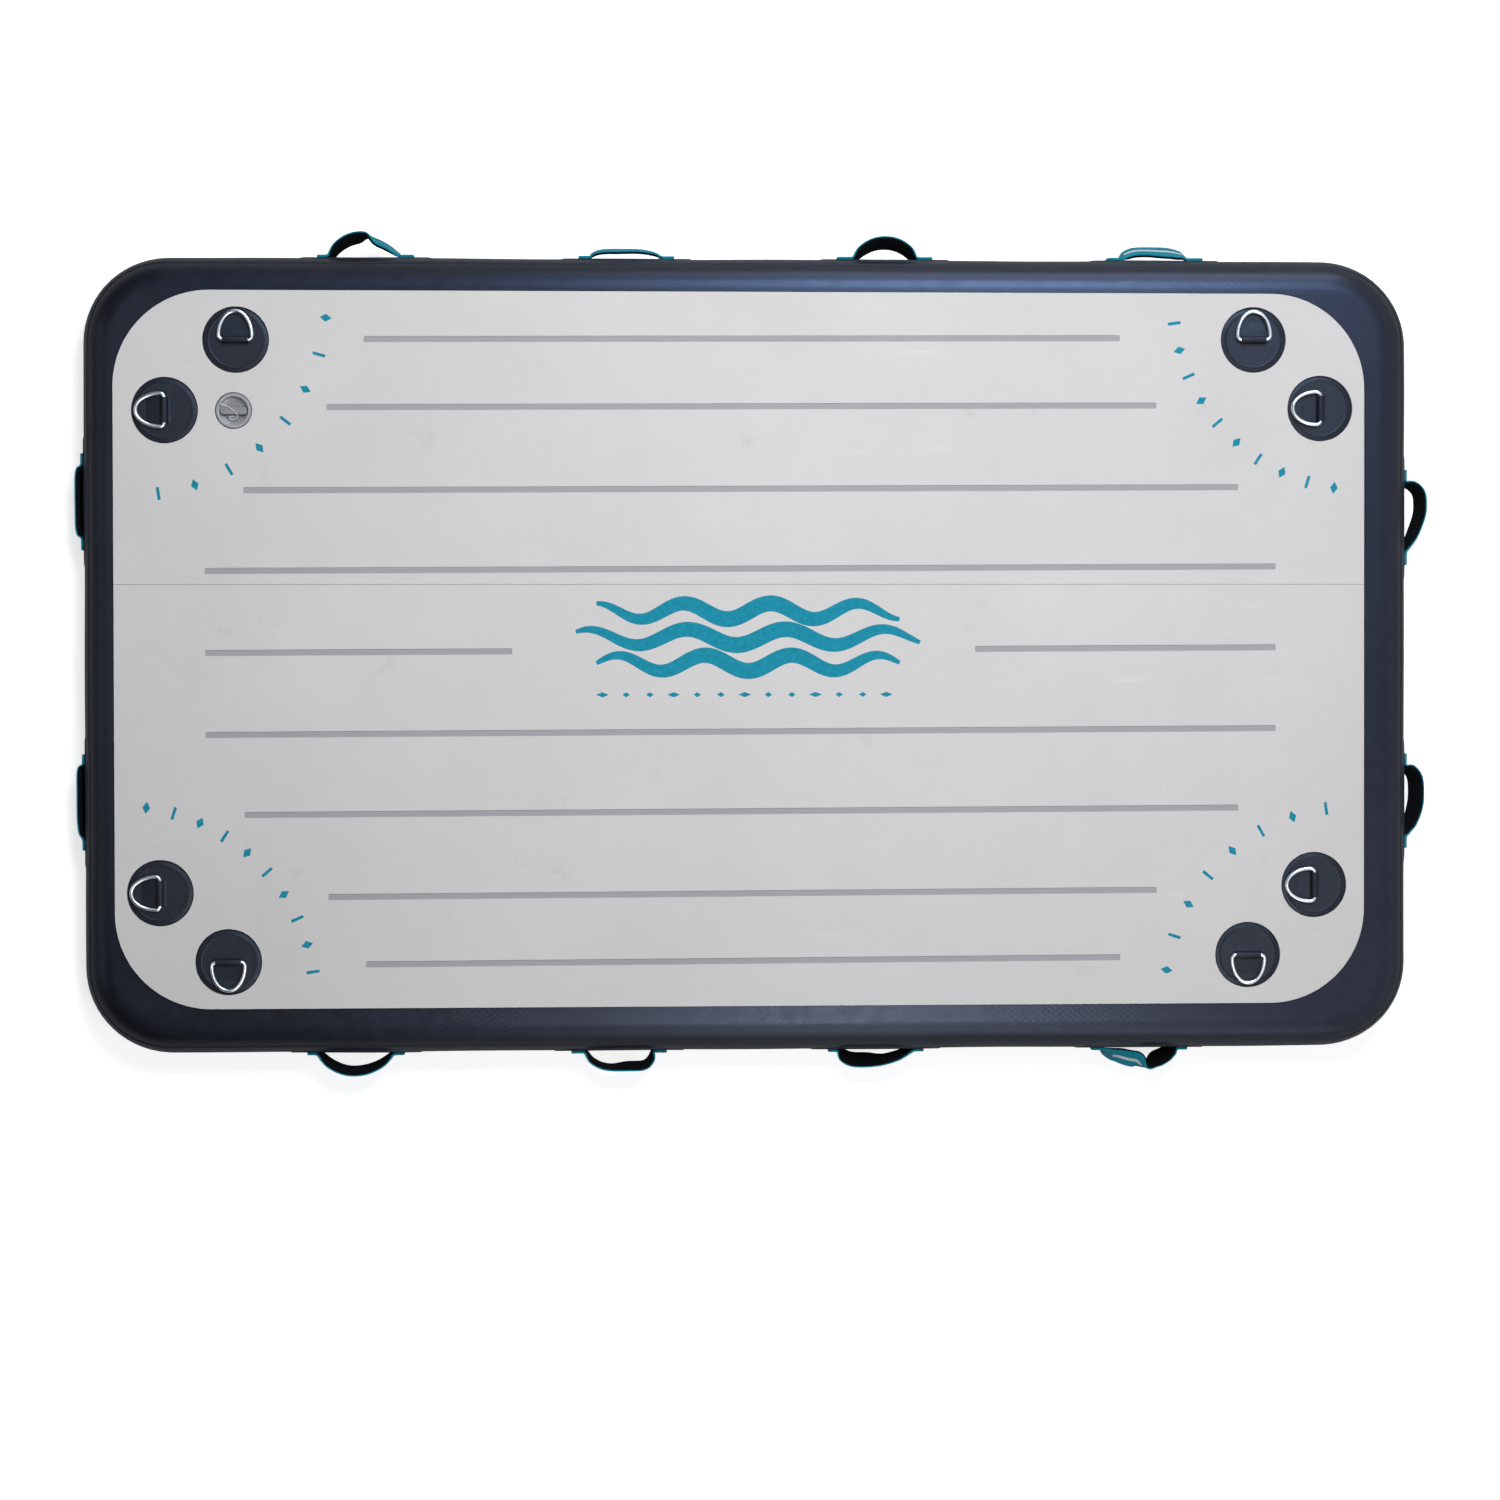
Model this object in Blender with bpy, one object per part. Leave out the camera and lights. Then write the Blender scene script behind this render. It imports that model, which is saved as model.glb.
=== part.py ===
"""Inflatable floating island: a drop-stitch swim platform with a foam deck, eight tie-down
D-rings, twelve webbing grab handles and a recessed inflation valve with a tethered cap.

Units are metres and +Z is up. The origin is the centre of the underside, +X runs along the
long side and +Y points to the back edge, where the valve corner is at the left."""

import math

import bmesh
import bpy
from mathutils import Vector

MM = 0.001
QUARTER_TURN = 90
# Which way each corner of a rectangle lies, and the angle where its arc starts
CORNERS = ((1, 1, 0), (-1, 1, 90), (-1, -1, 180), (1, -1, 270))

# Fits: glued and seated pieces keep a hair of air between their meshes
SEAT_GAP = 0.3 * MM
RUNNING_GAP = 0.4 * MM
CUT_OVERRUN = 5 * MM

# Hull
HULL_LENGTH = 2286 * MM
HULL_WIDTH = 1368 * MM
HULL_HEIGHT = 152 * MM
HULL_CORNER_RADIUS = 149 * MM
WALL_BULGE = 60 * MM
WALL_THICKNESS = 1.5 * MM
WALL_LAP = 15 * MM
SKIN_THICKNESS = 1.5 * MM
RAIL_BAND_THICKNESS = 1.2 * MM
RAIL_BAND_HEIGHT = 100 * MM
WALL_FACETS = 12
INNER_FACET_STEP = 2
CORNER_FACETS = 8

# Drop-stitch core: two woven faces held together by rows of yarn
CORE_FACE_THICKNESS = 1.2 * MM
YARN_ROW_THICKNESS = 1.4 * MM
YARN_ROW_PITCH = 62 * MM
CORE_VALVE_CLEARANCE = 6 * MM

# Foam deck, two sheets that meet at a butt seam
DECK_BORDER_X = 75 * MM
DECK_BORDER_Y = 74.5 * MM
DECK_CORNER_RADIUS = 163 * MM
DECK_THICKNESS = 5 * MM
DECK_EDGE_CHAMFER = 1.2 * MM
DECK_SHIFT_X = -13 * MM
DECK_SHIFT_Y = 8 * MM
DECK_SEAM_SHARE = 0.182
DECK_SEAM_GAP = 0.8 * MM
DECK_HOLE_GAP = 1.2 * MM

# Grooves in the deck: rows from the middle outwards, and how far each row reaches
GROOVE_WIDTH = 10 * MM
GROOVE_DEPTH = 1.6 * MM
GROOVE_MIDDLE_GAP = 791 * MM
GROOVE_ROW_SHARES = (0, 0.228, 0.4515, 0.682, 0.871)
GROOVE_REACH_SHARES = (0.856, 0.856, 0.795, 0.663, 0.604)

# D-rings on round glued patches, two at each corner of the deck
PATCH_DIAMETER = 110 * MM
PATCH_THICKNESS = 1.4 * MM
PATCH_CAP_DIAMETER = 94 * MM
PATCH_CAP_THICKNESS = 1.2 * MM
PATCH_SIDES = 24
RING_WIRE = 6.5 * MM
RING_WIDTH = 56 * MM
RING_HEIGHT = 48 * MM
RING_CORNER = 7 * MM
RING_AIR = 2.9 * MM
RING_ARCH_STEPS = 10
RING_CORNER_STEPS = 2
KEEPER_LENGTH = 43 * MM
KEEPER_WALL = 1.8 * MM
KEEPER_FOOT = 5 * MM
KEEPER_STEPS = 5
RING_BORE_SIDES = 10
# Each place is a share of half the deck, hand-glued patches drift a little
RING_NAMES = ("back_left_top", "back_left_side", "back_right_top", "back_right_side",
              "front_right_side", "front_right_low", "front_left_side", "front_left_low")
RING_PLACE_SHARES = ((-0.806, 0.862), (-0.9185, 0.666), (0.820, 0.870), (0.928, 0.6775),
                     (0.9185, -0.666), (0.811, -0.863), (-0.9284, -0.676), (-0.821, -0.869))
RING_HEADINGS = (90, 180, 90, 180, 180, 270, 180, 270)

# Webbing handles, each on a lens-shaped patch glued to the wall
HANDLE_WIDTH = 38 * MM
HANDLE_LENGTH = 165 * MM
HANDLE_SPAN = 130 * MM
HANDLE_REACH = 43 * MM
WEBBING_THICKNESS = 2.4 * MM
PADDED_THICKNESS = 5.5 * MM
HANDLE_PATCH_LENGTH = 226 * MM
HANDLE_PATCH_HEIGHT = 66 * MM
HANDLE_PATCH_THICKNESS = 1.1 * MM
HANDLE_PATCH_SIDES = 20
HANDLE_PATCH_ROUNDNESS = 0.85
HANDLE_STEPS = 12
# Per handle, anticlockwise seen from above: place along the edge as a share of its half, span
# share, reach share, where the arch peaks, how square its two sides are, and how far it tips at
# each end, positive with the outer face up
HANDLE_SHARES = {
    "back": ((-0.578, 0.91, 1.00, -0.35, 2.4, 1.2, -0.68, 0.38),
             (-0.186, 0.98, 0.50, -0.40, 2.6, 2.0, 0.25, -0.30),
             (0.205, 0.84, 0.90, 0.00, 2.1, 2.2, -0.46, -0.46),
             (0.617, 0.88, 0.63, -0.10, 2.6, 2.6, 0.80, 0.92)),
    "front": ((-0.593, 0.95, 0.91, 0.00, 1.6, 1.6, -0.80, 0.80),
              (-0.190, 1.00, 0.72, 0.35, 1.4, 2.3, -0.50, -0.85),
              (0.200, 0.89, 0.82, -0.40, 3.0, 2.8, -0.54, -0.54),
              (0.597, 1.00, 0.93, 0.05, 2.0, 2.0, -0.41, -0.35)),
    "left": ((0.386, 0.96, 0.33, 0.20, 4.0, 4.0, -0.20, -0.20),
             (-0.368, 1.00, 0.31, 0.60, 2.2, 3.4, -0.15, -0.15)),
    "right": ((-0.349, 0.93, 0.90, -0.25, 2.6, 1.5, -0.52, -0.52),
              (0.374, 0.93, 0.77, -0.10, 3.0, 1.8, -0.80, -0.80)),
}
HANDLE_TURNS = {"back": 0, "left": 90, "front": 180, "right": 270}

# Valve: place as shares of half the deck, then sizes, with depths measured downwards
VALVE_PLACE_SHARES = (-0.80976, 0.66504)
VALVE_SIDES = 28
GASKET_THICKNESS = 1.2 * MM
FLANGE_DIAMETER = 60 * MM
FLANGE_THICKNESS = 3.5 * MM
FLANGE_EDGE = 1.2 * MM
BARREL_DIAMETER = 52 * MM
CUP_DIAMETER = 48 * MM
CUP_DEPTH = 14.3 * MM
CUP_STRAIGHT = 9.5 * MM
CUP_FLOOR_DIAMETER = 33 * MM
CUP_FLOOR_THICKNESS = 2.5 * MM
THROAT_DIAMETER = 22 * MM
THROAT_WALL = 2.5 * MM
THROAT_LENGTH = 25 * MM
SPIDER_THICKNESS = 3 * MM
SPIDER_HEIGHT = 5 * MM
SPIDER_ARM = 2.5 * MM
SPIDER_HUB_DIAMETER = 11 * MM
SPIDER_ARMS = 2
NUT_DIAMETER = 66 * MM
NUT_HEIGHT = 8 * MM
NUT_NOTCH = 5 * MM
NUT_NOTCHES = 8
NUT_NOTCH_SIDES = 6

# Plunger, its spring and the washer between them
STEM_DIAMETER = 5 * MM
BUTTON_DIAMETER = 9.2 * MM
BUTTON_HEIGHT = 2 * MM
BUTTON_DEPTH = 0.5 * MM
SEAL_DISC_DIAMETER = 26 * MM
SEAL_DISC_THICKNESS = 2.5 * MM
WASHER_DIAMETER = 12 * MM
WASHER_THICKNESS = 1 * MM
SPRING_WIRE = 0.8 * MM
SPRING_DIAMETER = 8.4 * MM
SPRING_TURNS = 5
SPRING_STEPS = 10
PLUNGER_SIDES = 20

# Cap with a bone-shaped grip bar
CAP_DIAMETER = 30.6 * MM
CAP_DISC_THICKNESS = 2 * MM
CAP_SEAL_THICKNESS = 1 * MM
CAP_NECK_DIAMETER = 15 * MM
CAP_PLUG_LENGTH = 5.6 * MM
CAP_PLUG_WALL = 2.6 * MM
CAP_CROWN = 3 * MM
GRIP_LENGTH = 45 * MM
GRIP_WIDTH = 14.4 * MM
GRIP_WAIST = 12 * MM
GRIP_HEIGHT = 7.6 * MM
GRIP_LIFT = 1.8 * MM
GRIP_ROUND = 2.6 * MM
GRIP_EDGE = 0.8 * MM
GRIP_ROUND_STEPS = 3
TIE_LUG_WIDTH = 2.6 * MM
TIE_LUG_HEIGHT = 2.4 * MM

# Cap tether: a thin string in two stretches that meet over the cap's axis
TETHER_DIAMETER = 1.6 * MM
TETHER_HOLE_DIAMETER = 2.4 * MM
TETHER_HOLE_DEPTH = 2 * MM
TETHER_HOLE_SIDES = 10
TETHER_HOLE_ANGLE = 153.8
TETHER_STEP = 2.4 * MM
# Millimetres from the valve's axis and from the top of the skin, in the order of the string
TETHER_ROUTE = ((-24.23, 11.92, 3.6), (-24.2, 11.9, 6.2), (-23.3, 11.6, 8.7), (-20.9, 11.0, 10.1),
                (-17.4, 9.9, 9.9), (-12.6, 8.2, 8.2), (-7.8, 5.8, 6.6), (-3.8, 3.1, 6.0),
                (0, 0, 5.9))
TETHER_END_ROUTE = ((0, 0, 5.9), (3.2, -2.7, 6.0), (5.6, -6.0, 5.9), (6.4, -9.2, 4.4),
                    (5.6, -12.0, 2.2), (3.0, -14.4, 0.4), (-0.6, -15.5, -1.0), (-4.0, -15.3, -2.0),
                    (-6.5, -14.2, -2.8), (-7.5, -11.8, -3.4), (-6.5, -9.4, -3.9), (-4.0, -8.3, -4.2),
                    (-0.8, -8.6, -4.3), (2.8, -9.7, -4.3), (6.2, -9.9, -4.3))

# Heights that everything else is set from
DECK_LEVEL = HULL_HEIGHT
DECK_LENGTH = HULL_LENGTH - 2 * DECK_BORDER_X
DECK_WIDTH = HULL_WIDTH - 2 * DECK_BORDER_Y
MID_HEIGHT = HULL_HEIGHT / 2
FLAT_HALF_LENGTH = HULL_LENGTH / 2 - WALL_BULGE
FLAT_HALF_WIDTH = HULL_WIDTH / 2 - WALL_BULGE
FLAT_CORNER_RADIUS = HULL_CORNER_RADIUS - WALL_BULGE
WALL_HALF_HEIGHT = MID_HEIGHT - SKIN_THICKNESS - SEAT_GAP
WALL_REACH = WALL_BULGE - SEAT_GAP - RAIL_BAND_THICKNESS
VALVE_X = DECK_SHIFT_X + VALVE_PLACE_SHARES[0] * DECK_LENGTH / 2
VALVE_Y = DECK_SHIFT_Y + VALVE_PLACE_SHARES[1] * DECK_WIDTH / 2
FLANGE_BOTTOM = DECK_LEVEL + SEAT_GAP + GASKET_THICKNESS + SEAT_GAP
FLANGE_TOP = FLANGE_BOTTOM + FLANGE_THICKNESS
CUP_FLOOR = FLANGE_TOP - CUP_DEPTH
BARREL_BOTTOM = CUP_FLOOR - CUP_FLOOR_THICKNESS
SEAT_LEVEL = CUP_FLOOR - THROAT_LENGTH
SPIDER_TOP = SEAT_LEVEL + SPIDER_HEIGHT + SPIDER_THICKNESS
BUTTON_TOP = CUP_FLOOR - BUTTON_DEPTH
BUTTON_BOTTOM = BUTTON_TOP - BUTTON_HEIGHT
WASHER_BOTTOM = BUTTON_BOTTOM - SEAT_GAP - WASHER_THICKNESS

MATERIALS = {
    "navy_pvc": ((0.030, 0.040, 0.066, 1), 0.55, 0),
    "woven_core": ((0.75, 0.75, 0.73, 1), 0.9, 0),
    "foam_deck": ((0.62, 0.62, 0.63, 1), 0.85, 0),
    "patch_rubber": ((0.016, 0.020, 0.034, 1), 0.6, 0),
    "steel": ((0.62, 0.61, 0.60, 1), 0.2, 1),
    "webbing": ((0.005, 0.20, 0.27, 1), 0.8, 0),
    "valve_plastic": ((0.26, 0.27, 0.29, 1), 0.5, 0),
    "seal_rubber": ((0.03, 0.03, 0.03, 1), 0.7, 0),
    "string": ((0.85, 0.85, 0.86, 1), 0.8, 0),
}


def clear_scene():
    for old in list(bpy.data.objects):
        bpy.data.objects.remove(old)


def material(name):
    """The material of this name, made on first use."""
    found = bpy.data.materials.get(name)
    if found:
        return found
    made = bpy.data.materials.new(name)
    made.use_nodes = True
    color, roughness, metallic = MATERIALS[name]
    shader = made.node_tree.nodes["Principled BSDF"]
    shader.inputs["Base Color"].default_value = color
    shader.inputs["Roughness"].default_value = roughness
    shader.inputs["Metallic"].default_value = metallic
    made.diffuse_color = color
    return made


def add_object(name, data, finish, place=(0, 0, 0), turn=0):
    """Puts mesh or curve data in the scene, turned about Z by degrees."""
    data.materials.append(material(finish))
    piece = bpy.data.objects.new(name, data)
    piece.location = place
    piece.rotation_euler = (0, 0, math.radians(turn))
    bpy.context.scene.collection.objects.link(piece)
    return piece


def mesh_of(name, points, faces):
    """A closed mesh with its faces turned outwards."""
    mesh = bpy.data.meshes.new(name)
    mesh.from_pydata(points, [], faces)
    shape = bmesh.new()
    shape.from_mesh(mesh)
    bmesh.ops.recalc_face_normals(shape, faces=shape.faces)
    shape.to_mesh(mesh)
    shape.free()
    return mesh


def shade_round(piece, angle=35):
    piece.data.shade_smooth()
    piece.data.set_sharp_from_angle(angle=math.radians(angle))


def bridged(name, first, second):
    """A closed mesh between two outlines with the same number of points."""
    count = len(first)
    faces = [tuple(range(count)), tuple(range(count, 2 * count))]
    faces += [(i, (i + 1) % count, count + (i + 1) % count, count + i) for i in range(count)]
    return mesh_of(name, first + second, faces)


def prism(name, outline, low, high):
    """An outline in plan, raised from low to high."""
    return bridged(name, [(x, y, low) for x, y in outline], [(x, y, high) for x, y in outline])


def bar(name, section, half):
    """A section of (y, z) points drawn out along X by half to each side."""
    return bridged(name, [(-half, y, z) for y, z in section], [(half, y, z) for y, z in section])


def merge(name, meshes):
    """Several closed meshes in one, for a cutter with separate parts."""
    joined = bmesh.new()
    for mesh in meshes:
        joined.from_mesh(mesh)
    data = bpy.data.meshes.new(name)
    joined.to_mesh(data)
    joined.free()
    return data


def lathe(name, profile, sides):
    """A closed profile of (radius, height) points turned about Z."""
    points = []
    rings = []
    for radius, height in profile:
        turned = sides if radius > 0 else 1
        rings.append(range(len(points), len(points) + turned))
        for i in range(turned):
            angle = 2 * math.pi * i / sides
            points.append((radius * math.cos(angle), radius * math.sin(angle), height))
    faces = []
    for first, second in zip(rings, rings[1:] + rings[:1]):
        for i in range(sides):
            j = (i + 1) % sides
            corners = [first[i % len(first)], first[j % len(first)],
                       second[j % len(second)], second[i % len(second)]]
            face = list(dict.fromkeys(corners))
            if len(face) > 2:
                faces.append(face)
    return mesh_of(name, points, faces)


def circle(radius, sides, x=0, y=0):
    angles = [2 * math.pi * i / sides for i in range(sides)]
    return [(x + radius * math.cos(a), y + radius * math.sin(a)) for a in angles]


def rectangle(left, right, front, back):
    return [(left, front), (right, front), (right, back), (left, back)]


def rounded_corner(x, y, radius, start, steps):
    """An arc of a quarter turn from the angle start, in degrees."""
    angles = [math.radians(start + QUARTER_TURN * i / steps) for i in range(steps + 1)]
    return [(x + radius * math.cos(a), y + radius * math.sin(a)) for a in angles]


def rounded_outline(half_length, half_width, radius, steps=CORNER_FACETS):
    outline = []
    for side_x, side_y, start in CORNERS:
        x = side_x * (half_length - radius)
        y = side_y * (half_width - radius)
        outline += rounded_corner(x, y, radius, start, steps)
    return outline


def boolean(piece, other, operation):
    """Joins, cuts or trims piece with a helper that the build leaves out."""
    other.hide_render = True
    other.display_type = "WIRE"
    step = piece.modifiers.new(other.name, "BOOLEAN")
    step.operation = operation
    step.object = other
    return piece


def helper(name, data, place=(0, 0, 0), turn=0):
    return add_object(name, data, "steel", place, turn)


def baked(name, piece):
    """The mesh that a piece's modifiers make, with the piece and its helpers removed."""
    bpy.context.view_layer.update()
    graph = bpy.context.evaluated_depsgraph_get()
    data = bpy.data.meshes.new_from_object(piece.evaluated_get(graph))
    data.name = name
    data.materials.clear()
    for step in list(piece.modifiers):
        bpy.data.objects.remove(step.object)
    bpy.data.objects.remove(piece)
    return data


def tube(name, route, diameter, finish, closed=False, resolution=2):
    """A round tube along a route of points, as a curve with filled caps."""
    curve = bpy.data.curves.new(name, "CURVE")
    curve.dimensions = "3D"
    curve.bevel_depth = diameter / 2
    curve.bevel_resolution = resolution
    curve.use_fill_caps = not closed
    spline = curve.splines.new("POLY")
    spline.points.add(len(route) - 1)
    for point, place in zip(spline.points, route):
        point.co = (*place, 1)
    spline.use_cyclic_u = closed
    return add_object(name, curve, finish)


def smooth_route(route, step):
    """Points about a step apart on a smooth curve through a route."""
    places = [Vector(p) for p in route]
    ends = [2 * places[0] - places[1]] + places + [2 * places[-1] - places[-2]]
    smooth = []
    for a, b, c, d in zip(ends, ends[1:], ends[2:], ends[3:]):
        pieces = max(1, round((c - b).length / step))
        for i in range(pieces):
            t = i / pieces
            smooth.append(0.5 * (2 * b + (c - a) * t + (2 * a - 5 * b + 4 * c - d) * t * t
                                 + (3 * b - a - 3 * c + d) * t * t * t))
    return smooth + [places[-1]]


def wall_curve(proud):
    """The faceted wall profile moved out by proud, from bottom to top, as (out, rise)."""
    base = []
    for i in range(WALL_FACETS + 1):
        angle = math.pi * (i / WALL_FACETS - 1 / 2)
        base.append((WALL_REACH * math.cos(angle), WALL_HALF_HEIGHT * math.sin(angle)))
    normals = []
    for (out_a, rise_a), (out_b, rise_b) in zip(base, base[1:]):
        normals.append(Vector((rise_b - rise_a, out_a - out_b)).normalized())
    normals = [Vector((0, -1))] + normals + [Vector((0, 1))]
    moved = []
    for (out, rise), before, after in zip(base, normals, normals[1:]):
        mitre = (before + after) * (proud / (1 + before.dot(after)))
        moved.append((out + mitre.x, rise + mitre.y))
    return moved


def reach_at(curve, rise):
    """How far out a wall curve is at a height above the middle of the hull."""
    for (out_a, rise_a), (out_b, rise_b) in zip(curve, curve[1:]):
        if rise_a <= rise <= rise_b:
            return out_a + (out_b - out_a) * (rise - rise_a) / (rise_b - rise_a)
    raise ValueError("no wall at this height")


def clipped(curve, half_height):
    """The part of a wall curve within half_height of the middle."""
    inside = [(out, rise) for out, rise in curve if abs(rise) < half_height]
    low = (reach_at(curve, -half_height), -half_height)
    high = (reach_at(curve, half_height), half_height)
    return [low] + inside + [high]


def ring_round_hull(name, section):
    """A closed section of (out, rise) points swept round the flat skins' edge."""
    stations = []
    for side_x, side_y, start in CORNERS:
        centre_x = side_x * (FLAT_HALF_LENGTH - FLAT_CORNER_RADIUS)
        centre_y = side_y * (FLAT_HALF_WIDTH - FLAT_CORNER_RADIUS)
        for i in range(CORNER_FACETS + 1):
            angle = math.radians(start + QUARTER_TURN * i / CORNER_FACETS)
            stations.append((centre_x, centre_y, math.cos(angle), math.sin(angle)))
    points = []
    for x, y, along, across in stations:
        for out, rise in section:
            radius = FLAT_CORNER_RADIUS + out
            points.append((x + radius * along, y + radius * across, MID_HEIGHT + rise))
    count = len(section)
    faces = []
    for i in range(len(stations)):
        here = i * count
        there = (i + 1) % len(stations) * count
        for j in range(count):
            k = (j + 1) % count
            faces.append((here + j, here + k, there + k, there + j))
    return mesh_of(name, points, faces)


def skins():
    outline = rounded_outline(FLAT_HALF_LENGTH, FLAT_HALF_WIDTH, FLAT_CORNER_RADIUS)
    add_object("bottom_skin", prism("bottom_skin", outline, 0, SKIN_THICKNESS), "navy_pvc")
    low = DECK_LEVEL - SKIN_THICKNESS
    top = add_object("top_skin", prism("top_skin", outline, low, DECK_LEVEL), "navy_pvc")
    hole = circle(BARREL_DIAMETER / 2 + SEAT_GAP, VALVE_SIDES, VALVE_X, VALVE_Y)
    cut = prism("skin_hole", hole, low - CUT_OVERRUN, DECK_LEVEL + CUT_OVERRUN)
    boolean(top, helper("skin_hole", cut), "DIFFERENCE")


def side_wall():
    """The wall with a lip glued under each skin, and the rail band round its middle."""
    outer = wall_curve(0)
    inner = wall_curve(-WALL_THICKNESS)[::INNER_FACET_STEP]
    lip_outer = WALL_HALF_HEIGHT
    lip_inner = WALL_HALF_HEIGHT - WALL_THICKNESS
    section = outer + [(-WALL_LAP, lip_outer), (-WALL_LAP, lip_inner)]
    section += inner[::-1] + [(-WALL_LAP, -lip_inner), (-WALL_LAP, -lip_outer)]
    shade_round(add_object("side_wall", ring_round_hull("side_wall", section), "navy_pvc"))
    back = clipped(wall_curve(SEAT_GAP), RAIL_BAND_HEIGHT / 2)
    face = clipped(wall_curve(SEAT_GAP + RAIL_BAND_THICKNESS), RAIL_BAND_HEIGHT / 2)
    band = ring_round_hull("rail_band", back + face[::-1])
    shade_round(add_object("rail_band", band, "navy_pvc"))


def drop_stitch_core():
    """Two woven faces and the yarn rows between them, cut to the hull and round the valve."""
    half_length = FLAT_HALF_LENGTH - WALL_LAP - SEAT_GAP
    half_width = FLAT_HALF_WIDTH - WALL_LAP - SEAT_GAP
    radius = FLAT_CORNER_RADIUS - WALL_LAP - SEAT_GAP
    low = SKIN_THICKNESS + SEAT_GAP
    high = DECK_LEVEL - SKIN_THICKNESS - SEAT_GAP
    core = prism("drop_stitch_core", rounded_outline(half_length, half_width, radius), low, high)
    piece = add_object("drop_stitch_core", core, "woven_core")
    window_low = low + CORE_FACE_THICKNESS
    window_high = high - CORE_FACE_THICKNESS
    back = half_width + CUT_OVERRUN
    room = YARN_ROW_PITCH - YARN_ROW_THICKNESS
    count = math.floor((2 * half_length - YARN_ROW_THICKNESS) / YARN_ROW_PITCH)
    first = -count * YARN_ROW_PITCH / 2 + YARN_ROW_THICKNESS / 2
    windows = []
    for i in range(count):
        left = first + i * YARN_ROW_PITCH
        outline = rectangle(left, left + room, -back, back)
        windows.append(prism("window", outline, window_low, window_high))
    boolean(piece, helper("yarn_windows", merge("yarn_windows", windows)), "DIFFERENCE")
    well = circle(NUT_DIAMETER / 2 + CORE_VALVE_CLEARANCE, VALVE_SIDES, VALVE_X, VALVE_Y)
    floor = SEAT_LEVEL - SEAL_DISC_THICKNESS - SPIDER_HEIGHT - SPIDER_HEIGHT - CORE_VALVE_CLEARANCE
    cut = prism("valve_well", well, floor, high + CUT_OVERRUN)
    boolean(piece, helper("valve_well", cut), "DIFFERENCE")


def ring_places():
    """Name, x, y and heading of each D-ring on the hull."""
    places = []
    for name, (share_x, share_y), heading in zip(RING_NAMES, RING_PLACE_SHARES, RING_HEADINGS):
        x = DECK_SHIFT_X + share_x * DECK_LENGTH / 2
        y = DECK_SHIFT_Y + share_y * DECK_WIDTH / 2
        places.append((name, x, y, heading))
    return places


def groove_cuts():
    """The grooves as closed boxes, one row over another, mirrored front to back."""
    low = DECK_LEVEL + SEAT_GAP + DECK_THICKNESS - GROOVE_DEPTH
    high = DECK_LEVEL + SEAT_GAP + DECK_THICKNESS + CUT_OVERRUN
    cuts = []
    for row, reach in zip(GROOVE_ROW_SHARES, GROOVE_REACH_SHARES):
        ends = [(-reach * DECK_LENGTH / 2, reach * DECK_LENGTH / 2)]
        if row == 0:
            ends = [(ends[0][0], -GROOVE_MIDDLE_GAP / 2), (GROOVE_MIDDLE_GAP / 2, ends[0][1])]
        for side in (1, -1) if row else (1,):
            y = DECK_SHIFT_Y + side * row * DECK_WIDTH / 2
            for left, right in ends:
                outline = rectangle(DECK_SHIFT_X + left, DECK_SHIFT_X + right,
                                    y - GROOVE_WIDTH / 2, y + GROOVE_WIDTH / 2)
                cuts.append(prism("groove", outline, low, high))
    return cuts


def deck():
    """Two foam sheets with chamfered edges, holes for the patches and valve, and grooves."""
    low = DECK_LEVEL + SEAT_GAP
    high = low + DECK_THICKNESS
    outline = rounded_outline(DECK_LENGTH / 2, DECK_WIDTH / 2, DECK_CORNER_RADIUS)
    outline = [(DECK_SHIFT_X + x, DECK_SHIFT_Y + y) for x, y in outline]
    hole = PATCH_DIAMETER / 2 + DECK_HOLE_GAP
    holes = [circle(hole, PATCH_SIDES, x, y) for _, x, y, _ in ring_places()]
    holes.append(circle(FLANGE_DIAMETER / 2 + DECK_HOLE_GAP, VALVE_SIDES, VALVE_X, VALVE_Y))
    cuts = [prism("hole", h, low - CUT_OVERRUN, high + CUT_OVERRUN) for h in holes]
    cutter = helper("deck_cuts", merge("deck_cuts", cuts + groove_cuts()))
    seam = DECK_SHIFT_Y + DECK_SEAM_SHARE * DECK_WIDTH / 2
    far = HULL_LENGTH
    for name, front, back in (("deck_back_sheet", -far, seam + DECK_SEAM_GAP / 2),
                              ("deck_front_sheet", seam - DECK_SEAM_GAP / 2, far)):
        sheet = prism(name, outline, low, high)
        shape = bmesh.new()
        shape.from_mesh(sheet)
        rim = [e for e in shape.edges if all(v.co.z == max(u.co.z for u in shape.verts)
                                             for v in e.verts)]
        bmesh.ops.bevel(shape, geom=rim, offset=DECK_EDGE_CHAMFER, segments=1, affect="EDGES")
        shape.to_mesh(sheet)
        shape.free()
        piece = add_object(name, sheet, "foam_deck")
        other_side = rectangle(-far, far, front, back)
        trim = prism(name + "_trim", other_side, low - CUT_OVERRUN, high + CUT_OVERRUN)
        boolean(piece, helper(name + "_trim", trim), "DIFFERENCE")
        boolean(piece, cutter, "DIFFERENCE")


def ring_route():
    """The wire's centre line in plan: a straight bar, two corners and an arch."""
    half = RING_WIDTH / 2
    route = []
    for i in range(RING_ARCH_STEPS + 1):
        angle = math.pi * i / RING_ARCH_STEPS
        arch = RING_HEIGHT - RING_CORNER
        route.append((half * math.cos(angle), RING_CORNER + arch * math.sin(angle), 0))
    for side, start in ((-1, 180), (1, 270)):
        centre = side * (half - RING_CORNER)
        for x, y in rounded_corner(centre, RING_CORNER, RING_CORNER, start, RING_CORNER_STEPS):
            if y < RING_CORNER * (1 - 1 / WALL_FACETS):
                route.append((x, y, 0))
    return route


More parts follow.
